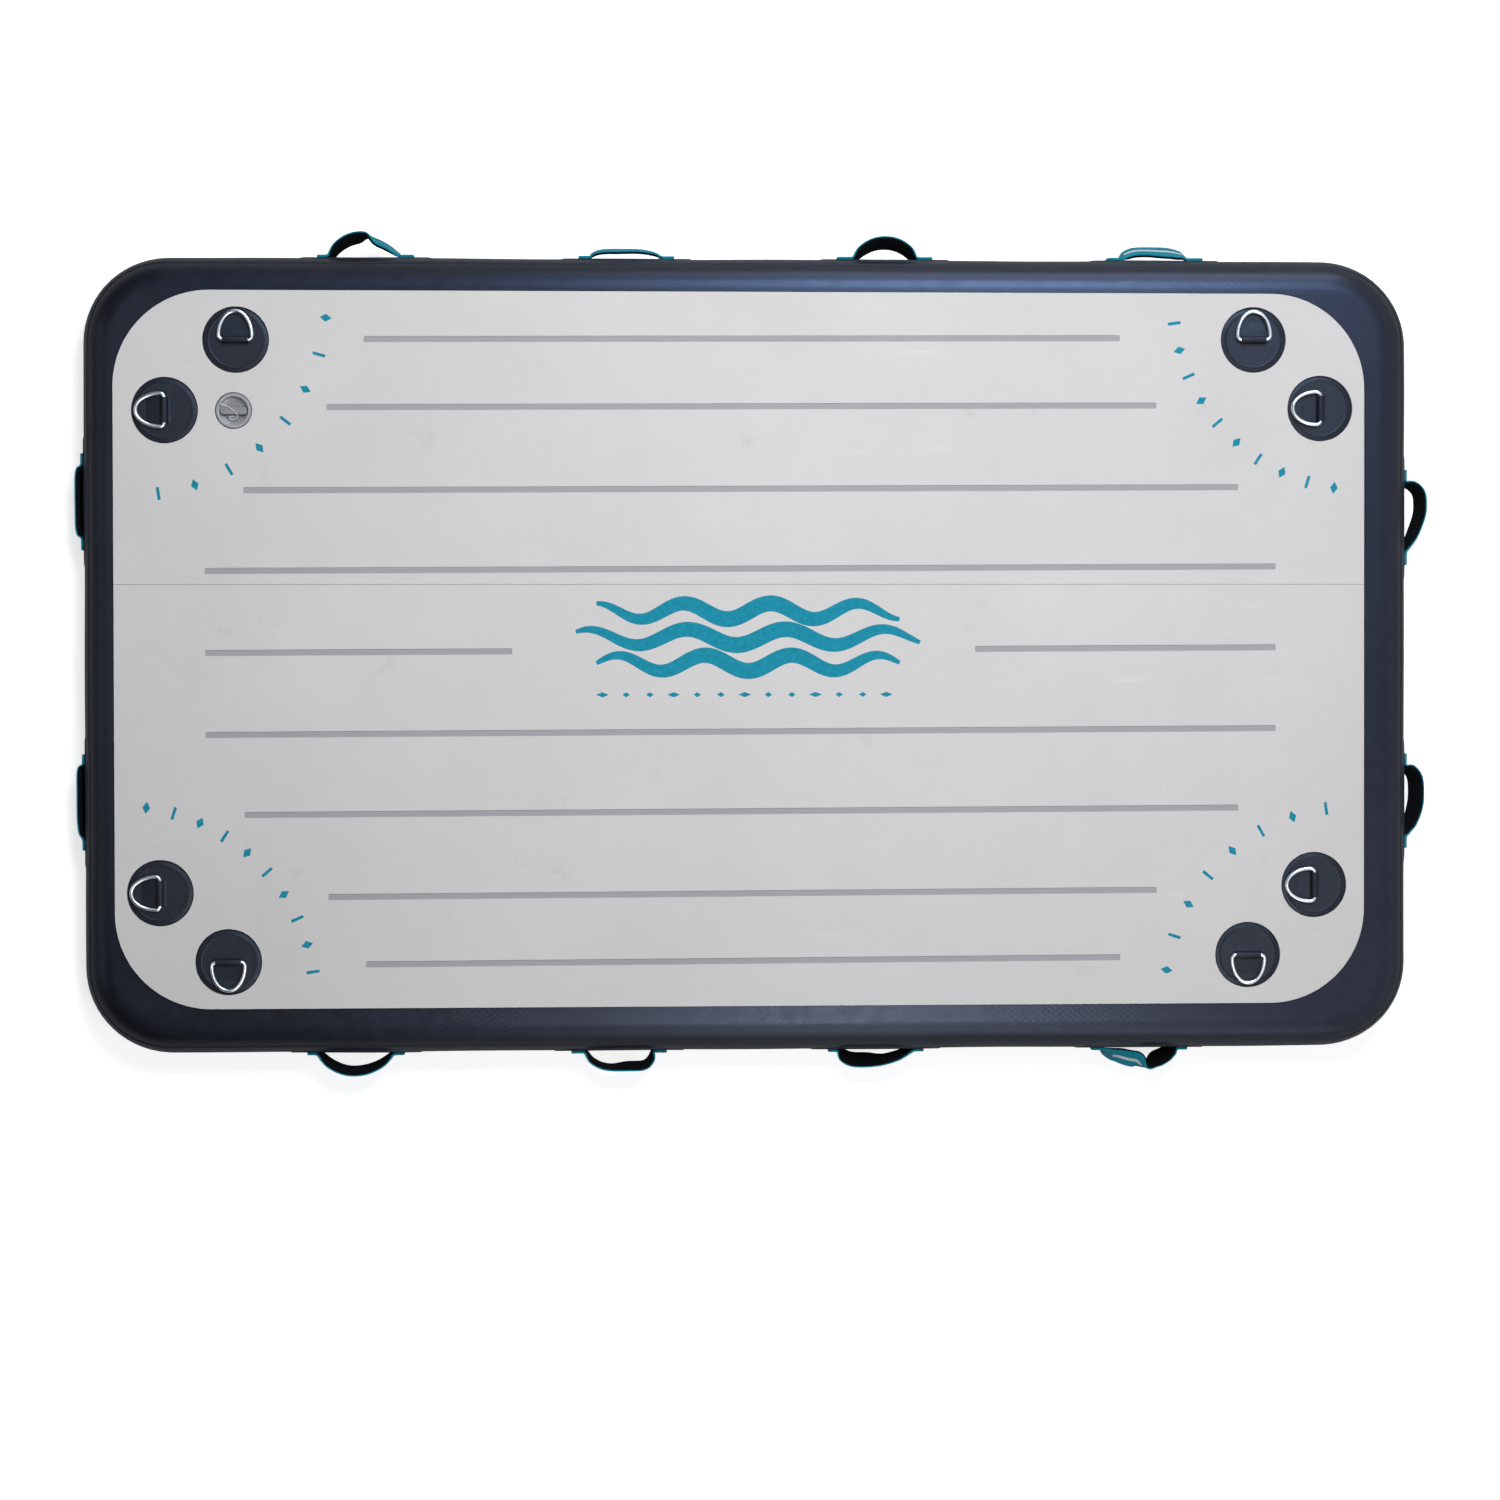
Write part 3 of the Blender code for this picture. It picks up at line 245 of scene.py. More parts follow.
def wovenLook(name, colour, along, across, roughness=0.8, sheen=0.3):
    # weave in the piece's own UV map, which is in metres, with its pitch along and across
    look, tree, shader = newLook(name)
    ownMap = addNode(tree, "ShaderNodeUVMap", uv_map="UVMap").outputs[0]
    u, v, _ = addNode(tree, "ShaderNodeSeparateXYZ", [(0, ownMap)]).outputs
    rib = calc(tree, "SINE", calc(tree, "MULTIPLY", v, 2 * math.pi / across))
    slant = calc(tree, "ADD", u, calc(tree, "MULTIPLY", rib, along * 0.18))
    yarn = calc(tree, "SINE", calc(tree, "MULTIPLY", slant, 2 * math.pi / along))
    height = calc(tree, "MULTIPLY_ADD", yarn, rib, 0.5)
    # colour follows the weave's height: painted shade in its hollows and painted light on its crowns of one-colour yarn
    tone = blendColour(tree, remap(tree, height, (-0.5, 1.5)), shade(colour, 0.62), shade(colour, 1.15))
    worn = mottle(tree, objectPlace(tree), 60, 3, (0.35, 0.7), (0, 0.25))
    dress(tree, shader, {"Base Color": blendColour(tree, worn, tone, shade(colour, 0.75)), "Roughness": roughness,
                         "Sheen Weight": sheen, "Sheen Roughness": 0.5, "Specular IOR Level": 0.15})
    addBump(tree, shader, height, 0.5, 0.4 * mm)
    return look


finish = {
    "navy": coatedFabric("navyFabric", rgb(27, 28, 36), (0.65, 0.71, 0.96, 1), True, 0.31, 0.5),
    "band": coatedFabric("bandFabric", rgb(30, 32, 38), (0.7, 0.82, 1.0, 1), False, 0.42, 0.42),
    "foam": foamSheet("paleFoam", rgb(219, 217, 217), True),
    "foamUnder": foamSheet("greyFoam", rgb(172, 171, 176), False),
    "ink": inkLook("tealInk", rgb(0, 132, 157)),
    "patch": mouldedLook("patchFabric", rgb(34, 35, 42), 0.47, rubber, tint=patchTint),
    # keeper rubber darker than the patch, so that its tail in the ring's eye shows as shadow: painted shadow
    "keeper": mouldedLook("keeperFabricAndPaintedShadow", rgb(27, 28, 34), 0.52, rubber, grain=(420, 2), tint=patchTint),
    "steel": metalLook("polishedSteel", (0.88, 0.87, 0.85, 1), 0.3),
    "spring": metalLook("springSteel", (0.62, 0.62, 0.62, 1), 0.25),
    "teal": wovenLook("tealWebbing", rgb(0, 145, 170), 2.2 * mm, 4.6 * mm, 0.75, 0.05),
    "neoprene": wovenLook("blackNeoprene", rgb(3, 3, 4), 1.2 * mm, 1.2 * mm, 0.95, 0.01),
    "thread": mouldedLook("tealThread", rgb(24, 160, 182), 0.7, rubber, grain=(3000, 2)),
    "weaveWhite": wovenLook("whiteWeave", rgb(225, 235, 238), 1.6 * mm, 1.6 * mm),
    "valve": mouldedLook("greyValve", rgb(166, 166, 170), 0.38, plastic),
    "cap": mouldedLook("greyCap", rgb(142, 142, 147), 0.42, plastic),
    "seal": mouldedLook("blackSeal", rgb(30, 30, 31), 0.6, rubber),
    "string": wovenLook("whiteString", rgb(255, 255, 255), 1.1 * mm, 1.1 * mm, 0.85, 0.2),
    "core": mouldedLook("wovenCore", rgb(205, 203, 196), 0.9, rubber, grain=(1500, 2)),
}
print("finishes made")


# mesh helpers

def addPiece(name, mesh, look, body, slotName, *nodes, smooth=True, sharp=35):
    # a finished piece at the origin that rides on a body and stands for some of its nodes
    mesh.materials.clear()
    mesh.materials.append(finish[look])
    if smooth:
        mesh.shade_smooth()
        if sharp:
            mesh.set_sharp_from_angle(angle=math.radians(sharp))
    piece = bpy.data.objects.new(name, mesh)
    scene.collection.objects.link(piece)
    if body:
        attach(piece, body)
    if nodes:
        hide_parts(*nodes)
    return piece


def turnOutward(mesh, weld=0):
    shape = bmesh.new()
    shape.from_mesh(mesh)
    if weld:
        bmesh.ops.remove_doubles(shape, verts=shape.verts, dist=weld)
    bmesh.ops.recalc_face_normals(shape, faces=shape.faces)
    shape.to_mesh(mesh)
    shape.free()


def joined(name, meshes):
    shape = bmesh.new()
    for mesh in meshes:
        shape.from_mesh(mesh)
    made = bpy.data.meshes.new(name)
    shape.to_mesh(made)
    shape.free()
    return made


def lineMesh(points, closed=False):
    count = len(points)
    edges = [(i, (i + 1) % count) for i in range(count if closed else count - 1)]
    mesh = bpy.data.meshes.new("line")
    mesh.from_pydata([tuple(p) for p in points], edges, [])
    return mesh


def loft(name, rows, closed=False, outward=True):
    # skin over rows of points, each a ring or one single point; closed joins the last row to the first
    points = [tuple(p) for row in rows for p in row]
    starts, sides = [0], max(len(row) for row in rows)
    for row in rows:
        starts.append(starts[-1] + len(row))
    faces = []
    for a in range(len(rows) if closed else len(rows) - 1):
        b = (a + 1) % len(rows)
        for i in range(sides):
            corners = [starts[n] + k % len(rows[n]) for n, k in ((a, i), (a, i + 1), (b, i + 1), (b, i))]
            face = list(dict.fromkeys(corners))
            if len(face) > 2:
                faces.append(face)
    if not closed:
        ends = [list(range(len(rows[0])))[::-1], list(range(starts[-2], starts[-1]))]
        faces += [face for face in ends if len(face) > 2]
    mesh = bpy.data.meshes.new(name)
    mesh.from_pydata(points, [], faces)
    if outward:
        turnOutward(mesh)
    mesh.update()
    return mesh


def circle(sides, radius=1.0, centre=(0, 0), height=None):
    # points round a circle, with a third number if a height is given
    tail = () if height is None else (height,)
    angles = [2 * math.pi * i / sides for i in range(sides)]
    return [(centre[0] + radius * math.cos(a), centre[1] + radius * math.sin(a)) + tail for a in angles]


def latheMesh(name, profile, sides, centre=(0, 0, 0)):
    # closed profile of (radius, height) turned about Z
    rows = [circle(sides, radius, centre, centre[2] + height) for radius, height in profile]
    return loft(name, [row if radius > 0 else row[:1] for row, (radius, _) in zip(rows, profile)], closed=True)


def tubeMesh(name, route, radius, sides, closed=False):
    # round tube with a UV map in metres, along x, around y
    count, rows, side = len(route), [], None
    for i, spot in enumerate(route):
        before = route[i - 1] if closed or i else route[0]
        after = route[(i + 1) % count] if closed or i < count - 1 else route[-1]
        direction = (after - before).normalized()
        side = (side - direction * side.dot(direction) if side else direction.orthogonal()).normalized()
        other = direction.cross(side)
        rows.append([spot + (side * x + other * y) * radius for x, y in circle(sides)])
    mesh = loft(name, rows, closed, outward=False)
    runs = [0.0]
    for i in range(1, count + closed):
        runs.append(runs[-1] + (route[i % count] - route[i - 1]).length)
    around = 2 * math.pi * radius / sides
    uvs = [(u, v * around) for near, far in zip(runs, runs[1:]) for k in range(sides)
           for u, v in ((near, k), (near, k + 1), (far, k + 1), (far, k))]
    layer = mesh.uv_layers.new(name="UVMap")
    for loop, uv in zip(layer.data, uvs):
        loop.uv = uv
    return mesh


def smoothRoute(route, step):
    # Catmull-Rom through the points, about a step apart
    places = [Vector(p) for p in route]
    ends = [2 * places[0] - places[1]] + places + [2 * places[-1] - places[-2]]
    smooth = []
    for a, b, c, d in zip(ends, ends[1:], ends[2:], ends[3:]):
        pieces = max(1, round((c - b).length / step))
        for i in range(pieces):
            t = i / pieces
            curve = 2 * b + (c - a) * t + (2 * a - 5 * b + 4 * c - d) * t * t + (3 * b - a - 3 * c + d) * t * t * t
            smooth.append(0.5 * curve)
    return smooth + [places[-1]]


def roundedBox(left, bottom, right, top, radius, steps, between=1):
    # outline of a rectangle with rounded corners; between cuts up its top and bottom sides
    outline = []
    for sideX, sideY, start in ((1, 1, 0), (-1, 1, 90), (-1, -1, 180), (1, -1, 270)):
        x = right - radius if sideX > 0 else left + radius
        y = top - radius if sideY > 0 else bottom + radius
        for i in range(steps + 1):
            angle = math.radians(start + 90 * i / steps)
            outline.append((x + radius * math.cos(angle), y + radius * math.sin(angle)))
        if sideX == sideY:
            outline += [(x + (left + right - 2 * x) * k / between, y + sideY * radius) for k in range(1, between)]
    return outline


# cap string, in two stretches that meet over the cap's axis, points in mm from the deck level at the valve

capString = {
    "diameter": 1.6 * mm, "step": 0.8 * mm, "sides": 10, "lifted": 5,  # the point from which it lies over the cap
    "toAxis": ((-24.23, 11.92, 3.6), (-24.2, 11.9, 6.2), (-23.3, 11.6, 8.7), (-20.9, 11.0, 10.1), (-17.4, 9.9, 9.9),
               (-12.6, 8.2, 8.2), (-7.8, 5.8, 6.6), (-3.8, 3.1, 6.0), (0, 0, 5.9)),
    "fromAxis": ((0, 0, 5.9), (3.2, -2.7, 6.0), (5.6, -6.0, 5.9), (6.4, -9.2, 4.4), (5.6, -12.0, 2.2), (3.0, -14.4, 0.4),
                 (-0.6, -15.5, -1.0), (-4.0, -15.3, -2.0), (-6.5, -14.2, -2.8), (-7.5, -11.8, -3.4), (-6.5, -9.4, -3.9),
                 (-4.0, -8.3, -4.2), (-0.8, -8.6, -4.3), (2.8, -9.7, -4.3), (6.2, -9.9, -4.3)),
}


def makeCapString():
    base = valveCentre + Vector((0, 0, deckLevel))
    for name, key, node in (("capString", "toAxis", "cap_tether"), ("capStringEnd", "fromAxis", "cap_tether_end")):
        points = [base + Vector(p) * mm for p in capString[key]]
        route = smoothRoute(points, capString["step"])
        mesh = tubeMesh(name, route, capString["diameter"] / 2, capString["sides"])
        piece = addPiece(name, mesh, "string", None if key == "toAxis" else "cap", "string", sharp=60)
        if key == "toAxis":
            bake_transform(piece)
        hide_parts(node)


makeCapString()


# Geometry Nodes helpers

def evaluated(helper, name):
    # the plain mesh that a helper shows; the helper goes
    scene.collection.objects.link(helper)
    bpy.context.view_layer.update()
    mesh = bpy.data.meshes.new_from_object(helper.evaluated_get(bpy.context.evaluated_depsgraph_get()))
    mesh.name = name
    bpy.data.objects.remove(helper)
    return mesh


def newTree(name, **inputs):
    tree = bpy.data.node_groups.new(name, "GeometryNodeTree")
    for label in ("Geometry", "Finish"):
        kind = "NodeSocketMaterial" if label == "Finish" else "NodeSocketGeometry"
        tree.interface.new_socket(label, in_out="INPUT", socket_type=kind)
    for label, value in inputs.items():
        kind = "NodeSocketInt" if isinstance(value, int) else "NodeSocketFloat"
        tree.interface.new_socket(label, in_out="INPUT", socket_type=kind).default_value = value
    tree.interface.new_socket("Geometry", in_out="OUTPUT", socket_type="NodeSocketGeometry")
    return tree, tree.nodes.new("NodeGroupInput").outputs


def geo(tree, kind, *inputs, out=0, **settings):
    return addNode(tree, "GeometryNode" + kind, inputs, **settings).outputs[out]


def vector(tree, **parts):
    return addNode(tree, "ShaderNodeCombineXYZ", parts.items()).outputs[0]


def closeTree(tree, given, shape, smooth=True):
    # Realize Instances and Set Material end every tree
    shape = geo(tree, "RealizeInstances", (0, shape))
    shape = geo(tree, "SetShadeSmooth", (0, shape), ("Shade Smooth", smooth))
    shape = geo(tree, "SetMaterial", (0, shape), ("Material", given["Finish"]))
    tree.links.new(shape, tree.nodes.new("NodeGroupOutput").inputs[0])
    return tree


def grown(name, mesh, tree, look, **sizes):
    # runs a tree on a mesh and returns the plain mesh that it makes
    helper = bpy.data.objects.new(name + "Seed", mesh)
    step = helper.modifiers.new("grow", "NODES")
    step.node_group = tree
    known = {item.name: item.identifier for item in tree.interface.items_tree if item.in_out == "INPUT"}
    for label, value in {"Finish": finish[look], **sizes}.items():
        step[known[label]] = value
    return evaluated(helper, name)


def rimTree():
    # sweeps a profile round the hull's flat edge, a rectangle with rounded corners
    tree, given = newTree("roundTheRim", Length=2.166, Width=1.248, CornerRadius=0.089, Height=0.076, Step=0.009, Cuts=24)
    edge = geo(tree, "CurvePrimitiveQuadrilateral", ("Width", given["Length"]), ("Height", given["Width"]), mode="RECTANGLE")
    edge = geo(tree, "FilletCurve", ("Curve", edge), ("Radius", given["CornerRadius"]), ("Count", given["Cuts"]), mode="POLY")
    edge = geo(tree, "ResampleCurve", ("Curve", edge), ("Length", given["Step"]), mode="LENGTH")
    edge = geo(tree, "SetCurveNormal", ("Curve", edge), mode="Z_UP")
    edge = geo(tree, "Transform", ("Geometry", edge), ("Translation", vector(tree, Z=given["Height"])))
    profile = geo(tree, "MeshToCurve", (0, given["Geometry"]))
    return closeTree(tree, given, geo(tree, "CurveToMesh", ("Curve", edge), ("Profile Curve", profile)))


def stitchTree():
    # short threads along a line of points
    tree, given = newTree("stitchLine", Pitch=4 * mm, Length=2.6 * mm, Thickness=0.8 * mm)
    line = geo(tree, "MeshToCurve", (0, given["Geometry"]))
    dots = addNode(tree, "GeometryNodeCurveToPoints", [("Curve", line), ("Length", given["Pitch"])], mode="LENGTH").outputs
    thread = geo(tree, "MeshIcoSphere", ("Radius", 0.5), ("Subdivisions", 1))
    size = vector(tree, X=given["Thickness"], Y=given["Thickness"], Z=given["Length"])
    return closeTree(tree, given, geo(tree, "InstanceOnPoints", ("Points", dots[0]), ("Instance", thread),
                                      ("Rotation", dots["Rotation"]), ("Scale", size)))


def yarnTree():
    # one upright yarn at every point of a seed mesh
    tree, given = newTree("coreYarns", Radius=0.5 * mm, Tall=146 * mm)
    yarn = geo(tree, "MeshCylinder", ("Vertices", 3), ("Radius", given["Radius"]), ("Depth", given["Tall"]))
    return closeTree(tree, given, geo(tree, "InstanceOnPoints", ("Points", given["Geometry"]), ("Instance", yarn)))


def markTree():
    # printed bars and lozenges in turn along an arc, each turned with it
    tree, given = newTree("printedMarks", Radius=0.33, StartAngle=0.0, Sweep=1.0, Count=8, MarkLength=22 * mm,
                          MarkWidth=5.2 * mm, Thickness=0.3 * mm)
    arc = geo(tree, "CurveArc", ("Resolution", 64), ("Radius", given["Radius"]), ("Start Angle", given["StartAngle"]),
              ("Sweep Angle", given["Sweep"]), mode="RADIUS")
    dots = addNode(tree, "GeometryNodeCurveToPoints", [("Curve", arc), ("Count", given["Count"])], mode="COUNT").outputs
    facing = addNode(tree, "FunctionNodeAlignRotationToVector", [("Vector", dots["Tangent"])], axis="X", pivot_axis="Z")
    bar = geo(tree, "MeshCube", ("Size", vector(tree, X=given["MarkWidth"], Y=given["MarkLength"], Z=given["Thickness"])))
    lozenge = geo(tree, "MeshCylinder", ("Vertices", 4), ("Radius", 0.5), ("Depth", 1))
    wide = vector(tree, X=calc(tree, "MULTIPLY", given["MarkWidth"], 2.6), Y=calc(tree, "MULTIPLY", given["MarkLength"], 0.95),
                  Z=given["Thickness"])
    lozenge = geo(tree, "Transform", ("Geometry", lozenge), ("Scale", wide))
    both = addNode(tree, "GeometryNodeJoinGeometry")
    for shape in (lozenge, bar):
        tree.links.new(geo(tree, "GeometryToInstance", (0, shape)), both.inputs[0])
    turns = calc(tree, "MODULO", geo(tree, "InputIndex"), 2)
    printed = geo(tree, "InstanceOnPoints", ("Points", dots[0]), ("Instance", both.outputs[0]), ("Pick Instance", True),
                  ("Instance Index", turns), ("Rotation", facing.outputs[0]))
    return closeTree(tree, given, printed, False)


trees = {"rim": rimTree(), "stitch": stitchTree(), "mark": markTree(), "yarn": yarnTree()}


# hull

hull = {
    "flatHalfLength": 1.083, "flatHalfWidth": 0.624, "cornerRadius": 0.089, "cornerSteps": 12,
    "reach": 58.5 * mm, "halfHeight": 76 * mm, "wall": 1.2 * mm, "wallSteps": 40, "lip": 40 * mm, "lipSteps": 4,
    "skin": 1.5 * mm, "valveHole": 26.3 * mm, "holeSides": 72,
    # slight unevenness of the inflated wall; each wave: share, radians a metre along and across, start
    "wave": 0.7 * mm, "waves": ((0.6, 9.1, 0, 0.7), (0.4, 21, 17, 1.3), (0.5, 0, 13, 2.1)),
}
band = {"half": 50 * mm, "proud": 1.5 * mm, "edge": 0.25 * mm, "sunk": 0.3 * mm, "rows": 36, "softShare": 0.05}
weldReach = 1e-6  # points closer than this become one


def eased(t):
    # from 0 to 1 with soft ends
    t = max(0, min(1, t))
    return t * t * (3 - 2 * t)


def rimWave(x, y):
    return hull["wave"] * sum(share * math.sin(along * x + across * y + start)
                              for share, along, across, start in hull["waves"])


def outFrom(x, y):
    # direction out of the flat area and distance from its edge
    corner = hull["cornerRadius"]
    halfX, halfY = hull["flatHalfLength"] - corner, hull["flatHalfWidth"] - corner
    away = Vector((x - max(-halfX, min(halfX, x)), y - max(-halfY, min(halfY, y)), 0))
    return away.normalized(), away.length - corner


def swell(mesh):
    for vertex in mesh.vertices:
        x, y, _ = vertex.co
        away, out = outFrom(x, y)
        vertex.co += away * rimWave(x, y) * eased(out / hull["reach"])
    mesh.update()


def wallOut(rise, proud):
    # how far out the wall is at a height above its middle, moved out by proud
    angle = math.asin(max(-1, min(1, rise / (hull["halfHeight"] + proud))))
    return (hull["reach"] + proud) * math.cos(angle)


def sweptRound(name, profile, look):
    seed = lineMesh([(x, y, 0) for x, y in profile], closed=True)
    mesh = grown(name, seed, trees["rim"], look, Length=2 * hull["flatHalfLength"], Width=2 * hull["flatHalfWidth"],
                 CornerRadius=hull["cornerRadius"], Height=midHeight)
    turnOutward(mesh, weldReach)
    swell(mesh)
    return mesh


def filledSheet(name, loops, low, high, edge=0.0):
    # flat sheet with softened edges from an outline and its holes
    curve = bpy.data.curves.new(name, "CURVE")
    curve.dimensions, curve.fill_mode = "2D", "BOTH"
    curve.extrude, curve.bevel_depth, curve.bevel_resolution = (high - low) / 2 - edge, edge, 1
    curve.offset = -edge
    for index, loop in enumerate(loops):
        area = sum(a[0] * b[1] - b[0] * a[1] for a, b in zip(loop, loop[1:] + loop[:1]))
        if (area > 0) != (index == 0):
            loop = loop[::-1]
        spline = curve.splines.new("POLY")
        spline.points.add(len(loop) - 1)
        for point, (x, y) in zip(spline.points, loop):
            point.co = (x, y, 0, 1)
        spline.use_cyclic_u = True
    mesh = evaluated(bpy.data.objects.new(name + "Curve", curve), name)
    mesh.transform(Matrix.Translation((0, 0, (low + high) / 2)))
    turnOutward(mesh, weldReach)
    return mesh


def makeHull():
    reach, tall, thick = hull["reach"], hull["halfHeight"], hull["wall"]
    angles = [math.radians(-90 + 180 * i / hull["wallSteps"]) for i in range(hull["wallSteps"] + 1)]
    lip = [hull["lip"] * i / hull["lipSteps"] for i in range(hull["lipSteps"], 0, -1)]
    wall = [(-row, -tall) for row in lip]
    wall += [(reach * math.cos(a), tall * math.sin(a)) for a in angles]
    wall += [(-row, tall) for row in lip[::-1]]
    inner = [(x - thick if x > 0 else x, y * (1 - thick / tall)) for x, y in wall]
    mesh = sweptRound("hullWall", wall + inner[::-1], "navy")
    addPiece("hullWall", mesh, "navy", "hull", "navy_pvc", "side_wall", sharp=50)
    # band welded round the middle, with softened edges
    half = math.asin(band["half"] / tall)
    outer, back = [], []
    for i in range(band["rows"] + 1):
        angle = -half + 2 * half * i / band["rows"]
        edge = min(1, (half - abs(angle)) / (half * band["softShare"]))
        proud = band["edge"] + (band["proud"] - band["edge"]) * math.sqrt(max(0, 1 - (1 - edge) ** 2))
        away = Vector((math.cos(angle) / reach, math.sin(angle) / tall)).normalized()
        for line, out in ((outer, proud), (back, -band["sunk"])):
            line.append((reach * math.cos(angle) + away.x * out, tall * math.sin(angle) + away.y * out))
    mesh = sweptRound("railBand", outer + back[::-1], "band")
    addPiece("railBand", mesh, "band", "hull", "navy_pvc", "rail_band", sharp=50)
    x, y = hull["flatHalfLength"] - hull["lip"], hull["flatHalfWidth"] - hull["lip"]
    outline = roundedBox(-x, -y, x, y, hull["cornerRadius"] - hull["lip"], hull["cornerSteps"])
    hole = circle(hull["holeSides"], hull["valveHole"], valveCentre)
    top = filledSheet("topSkin", [outline, hole], deckLevel - hull["skin"], deckLevel)
    addPiece("topSkin", top, "navy", "hull", "navy_pvc", "top_skin", sharp=20)
    under = filledSheet("bottomSkin", [outline], 0, hull["skin"])
    addPiece("bottomSkin", under, "navy", "hull", "navy_pvc", "bottom_skin", sharp=20)
    print("hull made")


makeHull()


# deck

deck = {
    "centre": (-0.013, 0.008), "halfLength": 1.068, "halfWidth": 0.6095, "cornerRadius": 0.163, "cornerSteps": 32,
    "low": 152.3 * mm, "grooveFloor": 155.7 * mm, "high": 157.3 * mm, "edge": 0.5 * mm,
    "seamY": 0.118929, "seamHalf": 0.2 * mm,
    "grooveRows": (0, 0.228, 0.4515, 0.682, 0.871), "grooveReach": (0.856, 0.856, 0.795, 0.663, 0.604),
    "grooveWidth": 10 * mm, "grooveCorner": 1.2 * mm, "grooveTilt": 0.0042, "grooveShift": -1.2 * mm,
    "middleGap": 0.791, "discHole": 56.2 * mm, "valveHole": 31.2 * mm, "holeSides": 96,
}
ringPlaces = {  # shares of the deck's half sizes, and where the eye points in degrees
    "back_left_top": (-0.806, 0.862, 90), "back_left_side": (-0.9185, 0.666, 180),
    "back_right_top": (0.820, 0.870, 90), "back_right_side": (0.928, 0.6775, 180),
    "front_right_side": (0.9185, -0.666, 180), "front_right_low": (0.811, -0.863, 270),
    "front_left_side": (-0.9284, -0.676, 180), "front_left_low": (-0.821, -0.869, 270),
}


def deckPoint(shareX, shareY):
    return deck["centre"][0] + shareX * deck["halfLength"], deck["centre"][1] + shareY * deck["halfWidth"]


def clipped(outline, low, high):
    # the part of an outline between two values of y
    for limit, keepAbove in ((low, True), (high, False)):
        made = []
        for (xa, ya), (xb, yb) in zip(outline, outline[1:] + outline[:1]):
            insideA, insideB = (ya >= limit) == keepAbove, (yb >= limit) == keepAbove
            if insideA:
                made.append((xa, ya))
            if insideA != insideB:
                made.append((xa + (xb - xa) * (limit - ya) / (yb - ya), limit))
        outline = made
    return outline


def grooveLoops():
    loops = []
    half, middle = deck["grooveWidth"] / 2, deck["middleGap"] / 2
    for row, share in zip(deck["grooveRows"], deck["grooveReach"]):
        reach = share * deck["halfLength"]
        for side in (1, -1) if row else (1,):
            y = deck["centre"][1] + side * row * deck["halfWidth"]
            for left, right in ((-reach, reach),) if row else ((-reach, -middle), (middle, reach)):
                x = deck["centre"][0]
                loop = roundedBox(x + left, y - half, x + right, y + half, deck["grooveCorner"], 1)
                loops.append((y, [(a, b + deck["grooveTilt"] * a + deck["grooveShift"]) for a, b in loop]))
    return loops


def makeDeck():
    (left, bottom), (right, top) = deckPoint(-1, -1), deckPoint(1, 1)
    outline = roundedBox(left, bottom, right, top, deck["cornerRadius"], deck["cornerSteps"])
    places = [deckPoint(x, y) for x, y, _ in ringPlaces.values()]
    holes = [(place[1], circle(deck["holeSides"], deck["discHole"], place)) for place in places]
    holes.append((valveCentre.y, circle(deck["holeSides"], deck["valveHole"], valveCentre)))
    seams = deck["seamY"] + deck["seamHalf"], deck["seamY"] - deck["seamHalf"]
    for name, low, high, node in (("deckBackSheet", seams[0], math.inf, "deck_back_sheet"),
                                  ("deckFrontSheet", -math.inf, seams[1], "deck_front_sheet")):
        own = [clipped(outline, low, high)] + [loop for y, loop in holes if low < y < high]
        grooves = [loop for y, loop in grooveLoops() if low < y < high]
        under = filledSheet(name + "Under", own, deck["low"], deck["grooveFloor"])
        upper = filledSheet(name, own + grooves, deck["grooveFloor"], deck["high"], deck["edge"])
        for label, mesh, look in ((name, upper, "foam"), (name + "Under", under, "foamUnder")):
            piece = addPiece(label, mesh, look, "hull", "foam_deck", sharp=10)
            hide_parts(node)
    print("deck made")


makeDeck()


# prints on the deck, plain generic motifs

prints = {
    "high": 157.42 * mm, "thickness": 0.3 * mm, "markLength": 22 * mm, "markWidth": 5.2 * mm,
    "arcs": {  # centre, radius, start and end in degrees, number of marks
        "printBackLeft": ((-1.0506, 0.5996), 0.330, -82, -5, 8), "printBackRight": ((1.0475, 0.6056), 0.324, 187, 262, 10),
        "printFrontLeft": ((-1.0731, -0.5846), 0.329, 8, 82, 10), "printFrontRight": ((1.0343, -0.5888), 0.325, 98, 172, 8),
    },
}
ribbons = {
    "left": -0.300, "right": 0.288, "bottom": -0.036, "top": 0.094, "rows": (0.16, 0.50, 0.84), "inset": 35 * mm,
    "steps": 120, "swing": 13.5 * mm, "turns": 3.5, "shift": 0.12, "halfWidth": 13.8 * mm, "tip": 0.02,
}
lozenges = {"left": -0.255, "right": 0.230, "y": -69 * mm, "count": 13, "bigEvery": 3, "bigHalf": 11 * mm,
            "smallHalf": 6.5 * mm, "halfHeight": 4.5 * mm}


def ribbonOutline(points, halfWidths):
    # a flat strip, its width given at each point
    left, right = [], []
    for i, (x, y) in enumerate(points):
        before, after = points[max(0, i - 1)], points[min(len(points) - 1, i + 1)]
        dx, dy = after[0] - before[0], after[1] - before[1]
        share = halfWidths[i] / math.hypot(dx, dy)
        left.append((x - dy * share, y + dx * share))
        right.append((x + dy * share, y - dx * share))
    return left + right[::-1]


